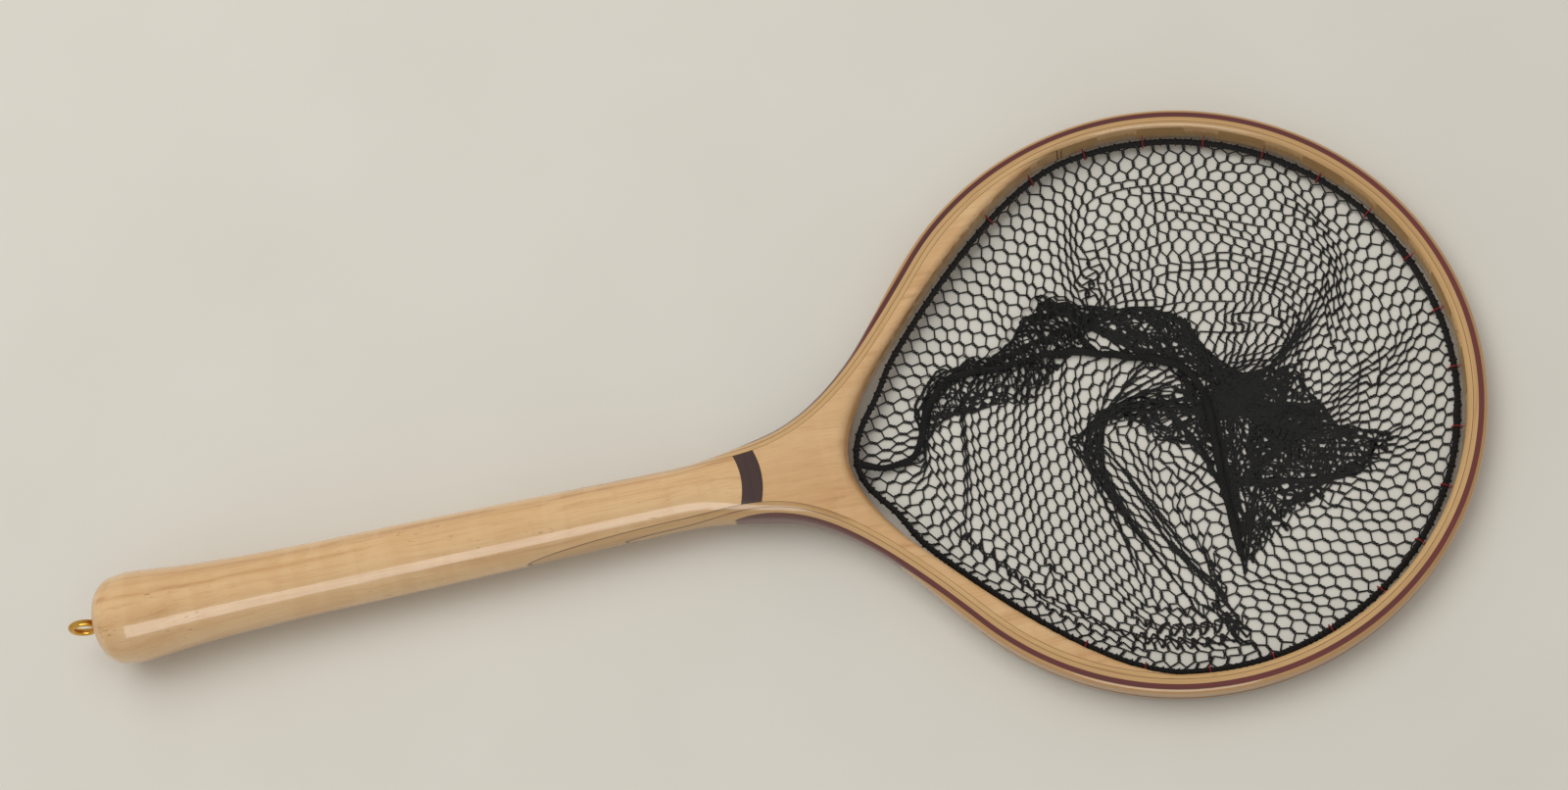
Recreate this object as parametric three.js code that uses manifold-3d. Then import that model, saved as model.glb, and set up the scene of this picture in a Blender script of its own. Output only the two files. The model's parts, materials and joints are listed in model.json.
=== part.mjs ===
// Laminated wooden landing net, laid on a table with its mesh bag collapsed flat.
// Millimetres, +Z up. X runs along the handle from the butt to the far side of the hoop.
import * as THREE from 'three';
import { mergeVertices } from 'three/addons/utils/BufferGeometryUtils.js';
import Module from 'manifold-3d';

// ---- driving dimensions -------------------------------------------------------------------
const GAP = 0.3; // clearance left between neighbouring pieces
const HOOP_X = 543; // centre of the round hoop, measured from the butt
const HOOP_RADIUS = 138.5; // inner face of the innermost strip
const STRIP_THICKNESS = { inner: 2.5, middle: 2.5, red: 2.3, outer: 2.2 };
const HOOP_HEIGHT = 16;
const HOOP_EDGE_ROUND = 3;

const GRIP_END_X = 300; // the grip is a body of revolution up to here
const BUTT_FLAT_RADIUS = 9;
const BUTT_ROUND_LENGTH = 12;
const BULB_RADIUS = 23;
const BULB_X = 18;
const NECK_RADIUS = 15.5;

const CORE_HALF_WIDTH = 12.5; // core between the strips at the accent band
const BAND_X = 329; // where the accent band meets the strips
const BAND_LENGTH = 10;
const BAND_BOW = 2.3; // how far the band's faces bulge towards the hoop

const THROAT_X = 384; // apex of the opening
const ARC_END = THREE.MathUtils.degToRad(140); // hoop arc runs from -140 to +140 degrees
const HORN_END = THREE.MathUtils.degToRad(100); // the throat block's horns taper out here
const THROAT_EDGE_ROUND = 6;

const HOLE_RADIUS = 0.9;
const HOLE_Z = -2.2;
const THREAD_RADIUS = 0.45;
const GROOVE_WIDTH = 1.7;
const GROOVE_DEPTH = 1.5;
const GROOVE_SCRATCH = 0.05; // the groove fades to this off the round of the hoop
const CORD_RADIUS = 1.6;
const SEAM_RADIUS = 1.4;
const BAG_THICKNESS = 2.2;

const EYE_RING_RADIUS = 6.2; // centreline
const EYE_WIRE_RADIUS = 1.8;
const EYE_SHANK_LENGTH = 22;
const EYE_COLLAR = 6; // plain shank behind the ring
const EYE_THREAD_PITCH = 1.6;
const EYE_THREAD_ROOT = 1.3;
const EYE_THREAD_CREST = 1.7;
const EYE_CLEARANCE = 0.6; // between the ring and the butt
const EYE_LEAN = THREE.MathUtils.degToRad(-6);
const PILOT_RADIUS = 2.2;
const PILOT_DEPTH = 26;

// ---- small helpers ------------------------------------------------------------------------
const vec2 = (x, y) => new THREE.Vector2(x, y);
const TOTAL_THICKNESS = Object.values(STRIP_THICKNESS).reduce((sum, t) => sum + t, 0);

// Smooth value between keys [x, value], flat outside them.
function ease(keys, x) {
  if (x <= keys[0][0]) return keys[0][1];
  for (let i = 1; i < keys.length; i++) {
    const [x0, v0] = keys[i - 1];
    const [x1, v1] = keys[i];
    if (x <= x1) return THREE.MathUtils.lerp(v0, v1, THREE.MathUtils.smoothstep(x, x0, x1));
  }
  return keys[keys.length - 1][1];
}

// Drop of a rounded edge of the given radius at a distance in from the edge.
function roundDrop(distance, radius) {
  const t = 1 - THREE.MathUtils.clamp(distance / radius, 0, 1);
  return radius * (1 - Math.sqrt(1 - t * t));
}

// Closed skin over equal rings of points, either capped at both ends or joined end to end.
function loft(rings, { closed = false } = {}) {
  const n = rings[0].length;
  const positions = rings.flat().flatMap((p) => [p.x, p.y, p.z]);
  const index = [];
  const spans = closed ? rings.length : rings.length - 1;
  for (let i = 0; i < spans; i++) {
    const a = i * n;
    const b = ((i + 1) % rings.length) * n;
    for (let j = 0; j < n; j++) {
      const k = (j + 1) % n;
      index.push(a + j, a + k, b + k, a + j, b + k, b + j);
    }
  }
  const ends = closed ? [] : [0, rings.length - 1];
  for (const end of ends) {
    const centre = rings[end].reduce((sum, p) => sum.add(p), new THREE.Vector3()).divideScalar(n);
    const c = positions.length / 3;
    positions.push(centre.x, centre.y, centre.z);
    for (let j = 0; j < n; j++) {
      const a = end * n + j;
      const b = end * n + ((j + 1) % n);
      index.push(c, end ? a : b, end ? b : a);
    }
  }
  return outward(positions, index);
}

// Geometry from positions and triangles, with the triangles turned to face out.
function outward(positions, index) {
  let volume = 0;
  const corner = (i) => new THREE.Vector3().fromArray(positions, i * 3);
  for (let i = 0; i < index.length; i += 3) {
    volume += corner(index[i]).dot(corner(index[i + 1]).cross(corner(index[i + 2])));
  }
  const geometry = new THREE.BufferGeometry();
  geometry.setAttribute('position', new THREE.Float32BufferAttribute(positions, 3));
  geometry.setIndex(volume < 0 ? index.reverse() : index);
  return geometry;
}

// Round tube along 3D points, its rings square to the path.
function tube(points, radius, sides, { closed = false } = {}) {
  const up = new THREE.Vector3(0, 0, 1);
  const rings = points.map((p, i) => {
    const before = closed ? points.at(i - 1) : points[Math.max(i - 1, 0)];
    const after = closed ? points[(i + 1) % points.length] : points[Math.min(i + 1, points.length - 1)];
    const along = after.clone().sub(before).normalize();
    const side = new THREE.Vector3().crossVectors(up, along).normalize();
    const normal = new THREE.Vector3().crossVectors(along, side);
    return ringAround(p, side, normal, radius, sides);
  });
  return loft(rings, { closed });
}

// Points round a centre, in the plane of two unit directions.
function ringAround(centre, side, normal, radius, sides) {
  return Array.from({ length: sides }, (_, j) => {
    const a = ((j + 0.5) / sides) * 2 * Math.PI;
    const point = centre.clone().addScaledVector(side, radius * Math.cos(a));
    return point.addScaledVector(normal, radius * Math.sin(a));
  });
}

// ---- booleans -----------------------------------------------------------------------------
const wasm = await Module();
wasm.setup();

function toSolid(geometry) {
  const bare = geometry.clone();
  bare.deleteAttribute('normal');
  bare.deleteAttribute('uv');
  const merged = mergeVertices(bare, 1e-5);
  const vertProperties = new Float32Array(merged.attributes.position.array);
  const triVerts = new Uint32Array(merged.index.array);
  return new wasm.Manifold(new wasm.Mesh({ numProp: 3, vertProperties, triVerts }));
}

function toGeometry(solid) {
  const mesh = solid.getMesh();
  const geometry = new THREE.BufferGeometry();
  geometry.setAttribute('position', new THREE.BufferAttribute(mesh.vertProperties, 3));
  geometry.setIndex(new THREE.BufferAttribute(mesh.triVerts, 1));
  return geometry;
}

const cut = (geometry, cutters) =>
  toGeometry(cutters.reduce((solid, cutter) => solid.subtract(toSolid(cutter)), toSolid(geometry)));
const join = (geometries) => toGeometry(geometries.map(toSolid).reduce((solid, next) => solid.add(next)));

// ---- plan curves --------------------------------------------------------------------------
// One side of the guide, the face between the core and the innermost strip: along the handle,
// out through the throat, then round the hoop.
const arcStart = vec2(HOOP_X + HOOP_RADIUS * Math.cos(ARC_END), HOOP_RADIUS * Math.sin(ARC_END));
const arcTangent = vec2(Math.sin(ARC_END), -Math.cos(ARC_END));
const handleSide = new THREE.CubicBezierCurve(
  vec2(215, 17), vec2(250, 13.2), vec2(285, CORE_HALF_WIDTH), vec2(325, CORE_HALF_WIDTH));
const throatSide = new THREE.CubicBezierCurve(
  vec2(325, CORE_HALF_WIDTH), vec2(365, CORE_HALF_WIDTH),
  arcStart.clone().addScaledVector(arcTangent, -75), arcStart);

const HANDLE_STEPS = 6;
const THROAT_STEPS = 10;
const ARC_STEPS = 22; // from the end of the arc to the far side of the hoop

// A point of the guide with its outward direction.
function guideStation(point, tangent) {
  return { x: point.x, y: point.y, out: vec2(-tangent.y, tangent.x).normalize() };
}

function guideHalf() {
  const stations = [];
  for (const [curve, steps] of [[handleSide, HANDLE_STEPS], [throatSide, THROAT_STEPS]]) {
    for (let i = 0; i < steps; i++) {
      stations.push(guideStation(curve.getPointAt(i / steps), curve.getTangentAt(i / steps)));
    }
  }
  for (let i = 0; i < ARC_STEPS; i++) {
    const a = ARC_END * (1 - i / ARC_STEPS);
    const point = vec2(HOOP_X + HOOP_RADIUS * Math.cos(a), HOOP_RADIUS * Math.sin(a));
    stations.push(guideStation(point, vec2(Math.sin(a), -Math.cos(a))));
  }
  return stations;
}

const mirrorStation = (s) => ({ x: s.x, y: -s.y, out: vec2(s.out.x, -s.out.y) });
const half = guideHalf();
const farStation = guideStation(vec2(HOOP_X + HOOP_RADIUS, 0), vec2(0, -1));
const guide = [...half, farStation, ...half.map(mirrorStation).reverse()];
const ARC_FIRST = HANDLE_STEPS + THROAT_STEPS;

// Half-width of the core on the handle and through the throat. Short of the strips the core is
// the whole grip, so its half-width there only has to be more than the grip's radius.
const NO_STRIPS = 2 * BULB_RADIUS;

function coreHalfWidth(x) {
  const i = half.findIndex((s) => s.x > x);
  if (i === 0) return NO_STRIPS;
  const [a, b] = [half[i - 1], half[i]];
  return THREE.MathUtils.mapLinear(x, a.x, b.x, a.y, b.y);
}

// The opening's edge on one side: from the apex, along the horn, until it meets the guide.
const hornTip = vec2(HOOP_X + HOOP_RADIUS * Math.cos(HORN_END), HOOP_RADIUS * Math.sin(HORN_END));
const hornTangent = vec2(Math.sin(HORN_END), -Math.cos(HORN_END));
const hornRoot = vec2(409, 49);
const hornSlope = vec2(0.67, 0.74);
const openingNose = new THREE.CubicBezierCurve(
  vec2(THROAT_X, 0), vec2(THROAT_X, 17), hornRoot.clone().addScaledVector(hornSlope, -14), hornRoot);
const openingHorn = new THREE.CubicBezierCurve(
  hornRoot, hornRoot.clone().addScaledVector(hornSlope, 30),
  hornTip.clone().addScaledVector(hornTangent, -40), hornTip);

// ---- carved outside of the wood -----------------------------------------------------------
// Grip radius: a rounded butt, the bulb, then a long taper.
const gripTaper = new THREE.SplineCurve([
  vec2(BUTT_ROUND_LENGTH, 22.3), vec2(BULB_X, BULB_RADIUS), vec2(30, 22.1), vec2(46, 20.5), vec2(72, 19),
  vec2(112, 17.9), vec2(172, 17.3), vec2(250, 16.1), vec2(GRIP_END_X, NECK_RADIUS)]).getPoints(160);

function gripRadius(x) {
  if (x < BUTT_ROUND_LENGTH) {
    const t = 1 - x / BUTT_ROUND_LENGTH;
    return BUTT_FLAT_RADIUS + (gripTaper[0].y - BUTT_FLAT_RADIUS) * Math.sqrt(1 - t * t);
  }
  const i = gripTaper.findIndex((p) => p.x > x);
  if (i < 0) return NECK_RADIUS;
  return THREE.MathUtils.mapLinear(x, gripTaper[i - 1].x, gripTaper[i].x, gripTaper[i - 1].y, gripTaper[i].y);
}

// Carved outer edge, measured outwards from the guide.
const edgeKeys = [[GRIP_END_X, NECK_RADIUS - CORE_HALF_WIDTH], [345, 7], [395, 7.1], [432, TOTAL_THICKNESS]];
const edgeOffset = (x) => (x < GRIP_END_X ? gripRadius(x) - coreHalfWidth(x) : ease(edgeKeys, x));
// Half of the wood's height at mid-width, and the radius of its outer edges.
const centreKeys = [[GRIP_END_X, NECK_RADIUS], [345, 12], [405, HOOP_HEIGHT / 2]];
const centreHeight = (x) => (x < GRIP_END_X ? gripRadius(x) : ease(centreKeys, x));
const roundKeys = [[GRIP_END_X, NECK_RADIUS], [345, 9], [430, HOOP_EDGE_ROUND]];
const edgeRound = (x) => (x < GRIP_END_X ? gripRadius(x) : ease(roundKeys, x));
// Radius of the edge along the opening: full at the throat, slimmer along the horns.
const openingRound = (x) => ease([[THROAT_X, THROAT_EDGE_ROUND], [430, HOOP_EDGE_ROUND]], x);

const THINNEST = 0.4; // half height left at a fully rounded edge

function halfHeight(x, fromOuter, fromOpening = Infinity) {
  const drop = roundDrop(fromOuter, edgeRound(x)) + roundDrop(fromOpening, openingRound(x));
  return Math.max(centreHeight(x) - drop, THINNEST);
}

// ---- laminated strips ---------------------------------------------------------------------
const EDGE_SAMPLES = [0, 0.5, 1];
const FEATHER = 0.25; // a strip ends where less than this is left of it

// A strip lies between two offsets from the guide, less whatever was carved away outside.
function stripGeometry(inside, outside, grooved = false) {
  const rings = [];
  guide.forEach((s, i) => {
    const edge = edgeOffset(s.x);
    const from = inside + GAP / 2;
    const to = Math.min(outside === TOTAL_THICKNESS ? outside : outside - GAP / 2, edge);
    if (to - from < FEATHER) return;
    const onHoop = i >= ARC_FIRST && i < guide.length - ARC_FIRST;
    const offsets = EDGE_SAMPLES.map((f) => from + (to - from) * f);
    const place = (o, z) => new THREE.Vector3(s.x + s.out.x * o, s.y + s.out.y * o, z);
    const heights = offsets.map((o) => halfHeight(s.x, edge - o, onHoop && inside === 0 ? o : Infinity));
    const ring = offsets.map((o, k) => place(o, heights[k]));
    if (grooved) {
      const floor = to - (onHoop ? GROOVE_DEPTH : GROOVE_SCRATCH);
      ring.push(place(to, HOLE_Z + GROOVE_WIDTH / 2), place(floor, HOLE_Z + GROOVE_WIDTH / 2));
      ring.push(place(floor, HOLE_Z - GROOVE_WIDTH / 2), place(to, HOLE_Z - GROOVE_WIDTH / 2));
    }
    ring.push(...offsets.map((o, k) => place(o, -heights[k])).reverse());
    rings.push(ring);
  });
  return loft(rings);
}

// ---- lacing holes round the hoop ----------------------------------------------------------
const HOLE_COUNT = 20;
const HOLE_STEP = (2 * ARC_END) / ARC_STEPS; // two facets of the arc apart
const holeAngles = Array.from({ length: HOLE_COUNT }, (_, i) => (i - (HOLE_COUNT - 1) / 2) * HOLE_STEP);
const radial = (angle, radius, z) =>
  new THREE.Vector3(HOOP_X + radius * Math.cos(angle), radius * Math.sin(angle), z);

function drillGeometry(angle) {
  const drill = new THREE.CylinderGeometry(HOLE_RADIUS, HOLE_RADIUS, 4 * TOTAL_THICKNESS, 6);
  drill.rotateZ(Math.PI / 2 + angle);
  const middle = radial(angle, HOOP_RADIUS + TOTAL_THICKNESS / 2, HOLE_Z);
  return drill.translate(middle.x, middle.y, middle.z);
}

const drills = holeAngles.map(drillGeometry);

// ---- handle core --------------------------------------------------------------------------
const GRIP_SIDES = 24;

// Section of the core: the carved outside, cut flat where it is glued to the strips.
function coreRing(x, bow) {
  const width = coreHalfWidth(x) - GAP / 2;
  const outer = x < GRIP_END_X ? gripRadius(x) : coreHalfWidth(x) + edgeOffset(x);
  const cutSine = Math.sqrt(1 - Math.min(width / outer, 1) ** 2);
  const cutHeight = halfHeight(x, outer - width);
  return Array.from({ length: GRIP_SIDES }, (_, i) => {
    const a = (i / GRIP_SIDES) * 2 * Math.PI + Math.PI / 2;
    const y = outer * Math.cos(a);
    if (Math.abs(y) > width) {
      return new THREE.Vector3(x, Math.sign(y) * width, (cutHeight * Math.sin(a)) / cutSine);
    }
    const height = x < GRIP_END_X ? outer * Math.abs(Math.sin(a)) : halfHeight(x, outer - Math.abs(y));
    return new THREE.Vector3(x + bow * (1 - (y / width) ** 2), y, Math.sign(Math.sin(a)) * height);
  });
}

const GRIP_STATIONS = [
  0, 0.35, 1.3, 3, 5.5, 8.5, 12.5, 18, 24, 31, 40, 52, 68, 90, 120, 165, 215, 235, 260, 285, 300, 314];

function gripGeometry() {
  const rings = GRIP_STATIONS.map((x) => coreRing(x, 0));
  rings.push(coreRing(BAND_X - GAP / 2, BAND_BOW));
  const pilot = new THREE.CylinderGeometry(PILOT_RADIUS, PILOT_RADIUS, 2 * PILOT_DEPTH, 16);
  return cut(loft(rings), [pilot.rotateZ(Math.PI / 2)]);
}

function bandGeometry() {
  const from = BAND_X + GAP / 2;
  const to = BAND_X + BAND_LENGTH - GAP / 2;
  return loft([from, (from + to) / 2, to].map((x) => coreRing(x, BAND_BOW)));
}

// ---- throat block -------------------------------------------------------------------------
// Rings run round the opening from one horn tip to the other. Each reaches from the opening
// back to the guide or, behind the apex, to the accent band.
const HORN_STEPS = 9;
const NOSE_STEPS = 5;
const BLOCK_SAMPLES = [0, 0.06, 0.16, 0.32, 0.6, 1]; // from the opening to the back
const BLOCK_BACK_X = BAND_X + BAND_LENGTH + GAP / 2;
const HORN_TIP_TRIM = 0.03; // share of the opening's edge beyond the tip of the block

// Distance in from the carved outer edge for a point of the throat.
function depthInside(point) {
  const away = (s) => Math.hypot(s.x - point.x, s.y - Math.abs(point.y));
  const s = half.reduce((best, next) => (away(next) < away(best) ? next : best));
  const inward = (s.x - point.x) * s.out.x + (s.y - Math.abs(point.y)) * s.out.y;
  return edgeOffset(s.x) + inward;
}

// Backs on one side, from the horn's tip to the accent band.
function blockBacks() {
  const first = half.findIndex((s) => s.x > BLOCK_BACK_X);
  const last = ARC_FIRST + Math.round((1 - HORN_END / ARC_END) * ARC_STEPS) - 1;
  const along = half.slice(first, last + 1).reverse();
  const backs = along.map((s) => vec2(s.x - (s.out.x * GAP) / 2, s.y - (s.out.y * GAP) / 2));
  const width = coreHalfWidth(BLOCK_BACK_X) - GAP / 2;
  for (const f of [1, 0.7, 0.35]) backs.push(vec2(BLOCK_BACK_X + BAND_BOW * (1 - f * f), width * f));
  return backs;
}

// Each back paired with a front, walking along the opening in step with the back.
function blockSide() {
  const fronts = [...openingHorn.getPoints(60).reverse(), ...openingNose.getPoints(40).reverse().slice(1)];
  const backs = blockBacks();
  const apexBack = vec2(BLOCK_BACK_X + BAND_BOW, 0);
  const steps = backs.map((back, i) => (i ? backs[i - 1].distanceTo(back) : 0));
  const length = steps.reduce((sum, d) => sum + d, 0) + backs.at(-1).distanceTo(apexBack);
  let walked = 0;
  return backs.map((back, i) => {
    walked += steps[i];
    const f = THREE.MathUtils.lerp(HORN_TIP_TRIM, 1, walked / length);
    return { front: fronts[Math.round(f * (fronts.length - 1))], back };
  });
}

function blockRing({ front, back }) {
  const points = BLOCK_SAMPLES.map((f) => vec2().lerpVectors(front, back, f));
  const heights = points.map((p) => halfHeight(p.x, depthInside(p), p.distanceTo(front)));
  const top = points.map((p, k) => new THREE.Vector3(p.x, p.y, heights[k]));
  const bottom = points.map((p, k) => new THREE.Vector3(p.x, p.y, -heights[k]));
  return [...top, ...bottom.reverse()];
}

function throatGeometry() {
  const side = blockSide();
  const middle = { front: vec2(THROAT_X, 0), back: vec2(BLOCK_BACK_X + BAND_BOW, 0) };
  const mirrored = side.map((p) => ({ front: vec2(p.front.x, -p.front.y), back: vec2(p.back.x, -p.back.y) }));
  return loft([...side, middle, ...mirrored.reverse()].map(blockRing));
}

// ---- opening: header cord, lacing and bag -------------------------------------------------
// Round the inside of the wood at a distance in from it, as a closed plan curve.
function openingLoop(inset) {
  const shift = (p, n) => vec2(p.x + n.x * inset, p.y + n.y * inset);
  const onCurve = (curve, u) => {
    const tangent = curve.getTangentAt(u);
    return shift(curve.getPointAt(u), vec2(tangent.y, -tangent.x));
  };
  const side = [];
  for (let i = 1; i < NOSE_STEPS; i++) side.push(onCurve(openingNose, i / NOSE_STEPS));
  for (let i = 0; i < HORN_STEPS; i++) side.push(onCurve(openingHorn, i / HORN_STEPS));
  const steps = Math.round((HORN_END / ARC_END) * ARC_STEPS);
  for (let i = 0; i < steps; i++) {
    const a = HORN_END * (1 - i / steps);
    const r = HOOP_RADIUS - inset;
    side.push(vec2(HOOP_X + r * Math.cos(a), r * Math.sin(a)));
  }
  const mirrored = side.map((p) => vec2(p.x, -p.y)).reverse();
  return [vec2(THROAT_X + inset, 0), ...side, vec2(HOOP_X + HOOP_RADIUS - inset, 0), ...mirrored];
}

const STITCH_RADIUS = CORD_RADIUS + GAP + THREAD_RADIUS;
const CORD_INSET = STITCH_RADIUS + THREAD_RADIUS + GAP;
const CORD_Z = HOLE_Z - STITCH_RADIUS;
const BAG_INSET = CORD_INSET + STITCH_RADIUS + THREAD_RADIUS + GAP; // clear of cord and stitches

const cordLoop = openingLoop(CORD_INSET);

function cordGeometry() {
  const path = cordLoop.map((p) => new THREE.Vector3(p.x, p.y, CORD_Z));
  return tube(path, CORD_RADIUS, 6, { closed: true });
}

// Distance from the hoop's centre to the cord in a direction.
const cordPolar = cordLoop.map((p) => ({ a: Math.atan2(p.y, p.x - HOOP_X), r: Math.hypot(p.y, p.x - HOOP_X) }));
cordPolar.sort((p, q) => p.a - q.a);

function cordReach(angle) {
  const i = cordPolar.findIndex((p) => p.a > angle);
  const [p, q] = [cordPolar[i - 1], cordPolar[i]];
  return THREE.MathUtils.mapLinear(angle, p.a, q.a, p.r, q.r);
}

// The thread lies in the groove outside the hoop and dips through each hole round the cord.
const STITCH_TURN = THREE.MathUtils.degToRad(290);
const STITCH_STEPS = 5;
const THREAD_RUN_PAST = 0.004; // radians the run goes on beyond the last stitches

function lacingGeometry() {
  const runRadius = HOOP_RADIUS + TOTAL_THICKNESS - GROOVE_DEPTH / 2;
  const endAngle = holeAngles.at(-1) + THREAD_RUN_PAST;
  const steps = 2 * ARC_STEPS;
  const run = Array.from({ length: steps + 1 }, (_, i) =>
    radial(THREE.MathUtils.lerp(-endAngle, endAngle, i / steps), runRadius, HOLE_Z));
  const stitches = holeAngles.map((angle) => {
    const points = [radial(angle, runRadius, HOLE_Z)];
    for (let i = 0; i <= STITCH_STEPS; i++) {
      const a = Math.PI / 2 + (i / STITCH_STEPS) * STITCH_TURN;
      const r = cordReach(angle) + STITCH_RADIUS * Math.cos(a);
      points.push(radial(angle, r, CORD_Z + STITCH_RADIUS * Math.sin(a)));
    }
    return stitchGeometry(points, angle);
  });
  return join([tube(run, THREAD_RADIUS, 4), ...stitches]);
}

// Square-section thread whose path stays in the upright plane at one hoop angle.
function stitchGeometry(points, angle) {
  const across = new THREE.Vector3(-Math.sin(angle), Math.cos(angle), 0);
  return loft(points.map((p, i) => {
    const before = points[Math.max(i - 1, 0)];
    const after = points[Math.min(i + 1, points.length - 1)];
    const normal = new THREE.Vector3().crossVectors(after.clone().sub(before).normalize(), across);
    return ringAround(p, across, normal, THREAD_RADIUS, 4);
  }));
}

// The table, in the net's own tilted frame: it touches the bulb and the far side of the hoop.
const FAR_X = HOOP_X + HOOP_RADIUS + TOTAL_THICKNESS - HOOP_EDGE_ROUND;
const TILT = Math.atan((BULB_RADIUS - HOOP_HEIGHT / 2) / (FAR_X - BULB_X));
const tableZ = (x) => -BULB_RADIUS + (x - BULB_X) * Math.tan(TILT);

// The collapsed bag: a shallow dish from the cord to the table, with a heap of slack mesh.
const HEAP = { x: 560, y: 10, length: 62, width: 45, height: 9 };
const BAG_CENTRE = vec2(HOOP_X - 10, 0);
const BAG_RINGS = [0, 0.05, 0.12, 0.3, 0.55, 0.8]; // from the rim towards the centre
const BAG_SAG_END = 0.12; // ring at which the mesh is down on the table
const BAG_RIM_DROP = 1; // rim of the mesh below the cord's centreline
const BAG_CLEARANCE = 0.8; // mesh to table

function heapHeight(x, y) {
  const u = (x - HEAP.x) / HEAP.length;
  const v = (y - HEAP.y) / HEAP.width;
  return HEAP.height * Math.exp(-(u * u + v * v));
}

const bagFloor = (x) => tableZ(x) + BAG_CLEARANCE;

function bagGeometry() {
  const rim = openingLoop(BAG_INSET);
  const n = rim.length;
  const top = [];
  const bottom = [];
  for (const f of BAG_RINGS) {
    for (const p of rim) {
      const q = vec2().lerpVectors(p, BAG_CENTRE, f);
      const floor = bagFloor(q.x);
      const sag = THREE.MathUtils.smoothstep(f, 0, BAG_SAG_END);
      const low = THREE.MathUtils.lerp(Math.max(CORD_Z - BAG_RIM_DROP, floor), floor, sag);
      bottom.push(q.x, q.y, low);
      top.push(q.x, q.y, low + BAG_THICKNESS + sag * heapHeight(q.x, q.y));
    }
  }
  const floor = bagFloor(BAG_CENTRE.x);
  const peak = floor + BAG_THICKNESS + heapHeight(BAG_CENTRE.x, BAG_CENTRE.y);
  const positions = [...top, ...bottom, BAG_CENTRE.x, BAG_CENTRE.y, peak, BAG_CENTRE.x, BAG_CENTRE.y, floor];
  const shift = top.length / 3;
  const topCentre = 2 * shift;
  const last = shift - n;
  const index = [];
  for (let j = 0; j < n; j++) {
    const k = (j + 1) % n;
    index.push(j, shift + j, shift + k, j, shift + k, k);
    for (let r = 0; r < last; r += n) {
      index.push(r + j, r + k, r + n + k, r + j, r + n + k, r + n + j);
      index.push(shift + r + j, shift + r + n + k, shift + r + k);
      index.push(shift + r + j, shift + r + n + j, shift + r + n + k);
    }
    index.push(last + j, last + k, topCentre, shift + last + k, shift + last + j, topCentre + 1);
  }
  return outward(positions, index);
}

// The bag's side seam, a thick gathered rope lying on the mesh from the throat inwards.
const SEAM_START_X = THROAT_X + BAG_INSET;
const SEAM_START_Z = CORD_Z + 3.5;
const SEAM_FALL_LENGTH = 28; // from the throat to where it lies on the mesh
const SEAM_PLAN = [
  vec2(SEAM_START_X, 0), vec2(400, 1), vec2(420, 2), vec2(424, 16), vec2(432, 32), vec2(452, 42), vec2(480, 46)];

function seamGeometry() {
  const points = new THREE.SplineCurve(SEAM_PLAN).getSpacedPoints(18).map((p) => {
    const bagTop = bagFloor(p.x) + BAG_THICKNESS + heapHeight(p.x, p.y);
    const fallen = THREE.MathUtils.smoothstep(p.x, SEAM_START_X, SEAM_START_X + SEAM_FALL_LENGTH);
    const z = THREE.MathUtils.lerp(SEAM_START_Z, bagTop + SEAM_RADIUS + GAP, fallen);
    return new THREE.Vector3(p.x, p.y, z);
  });
  return tube(points, SEAM_RADIUS, 6);
}

// ---- screw eye ----------------------------------------------------------------------------
// A ring on a shank whose thread is cut as a row of ridges. The shank starts inside the ring.
function eyeGeometry() {
  const ring = new THREE.TorusGeometry(EYE_RING_RADIUS, EYE_WIRE_RADIUS, 7, 22);
  ring.rotateX(Math.PI / 2);
  ring.translate(-(EYE_RING_RADIUS + EYE_WIRE_RADIUS + EYE_CLEARANCE), 0, 0);
  const shankStart = -(EYE_WIRE_RADIUS + EYE_CLEARANCE);
  const profile = [vec2(0, shankStart), vec2(EYE_THREAD_CREST, shankStart), vec2(EYE_THREAD_CREST, EYE_COLLAR)];
  for (let x = EYE_COLLAR; x < EYE_SHANK_LENGTH - 2 * EYE_THREAD_PITCH; x += EYE_THREAD_PITCH) {
    profile.push(vec2(EYE_THREAD_ROOT, x + EYE_THREAD_PITCH / 4));
    profile.push(vec2(EYE_THREAD_CREST, x + (EYE_THREAD_PITCH * 3) / 4));
  }
  profile.push(vec2(EYE_THREAD_ROOT, EYE_SHANK_LENGTH - EYE_THREAD_PITCH), vec2(0, EYE_SHANK_LENGTH));
  const shank = new THREE.LatheGeometry(profile, 10).rotateZ(-Math.PI / 2);
  return join([shank, ring]);
}

// ---- assembly -----------------------------------------------------------------------------
const finish = (color, roughness, metalness = 0) =>
  new THREE.MeshStandardMaterial({ color, roughness, metalness });
const maple = finish(0xcfa878, 0.25);
const ash = finish(0xc9a36c, 0.25);
const bloodwood = finish(0x5a1a10, 0.22);
const rosewood = finish(0x3a1a10, 0.22);
const blackTwine = finish(0x101010, 0.85);
const redThread = finish(0x8c1218, 0.8);
const brass = finish(0xc9a23c, 0.25, 1);

const net = new THREE.Group();

function addPart(name, geometry, material, parent = net) {
  const mesh = new THREE.Mesh(geometry, material);
  mesh.name = name;
  parent.add(mesh);
  return mesh;
}

addPart('handle_grip', gripGeometry(), maple);
addPart('accent_band', bandGeometry(), rosewood);
addPart('throat_block', cut(throatGeometry(), drills), maple);

let inside = 0;
const stripMaterials = { inner: ash, middle: ash, red: bloodwood, outer: ash };
for (const [strip, thickness] of Object.entries(STRIP_THICKNESS)) {
  const geometry = stripGeometry(inside, inside + thickness, strip === 'outer');
  addPart(`lamination_${strip}`, cut(geometry, drills), stripMaterials[strip]);
  inside += thickness;
}

const eye = new THREE.Group();
eye.rotation.x = EYE_LEAN;
net.add(eye);
addPart('screw_eye', eyeGeometry(), brass, eye);

addPart('header_cord', cordGeometry(), blackTwine);
addPart('lacing_thread', lacingGeometry(), redThread);
addPart('net_bag', bagGeometry(), blackTwine);
addPart('bag_seam', seamGeometry(), blackTwine);

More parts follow.
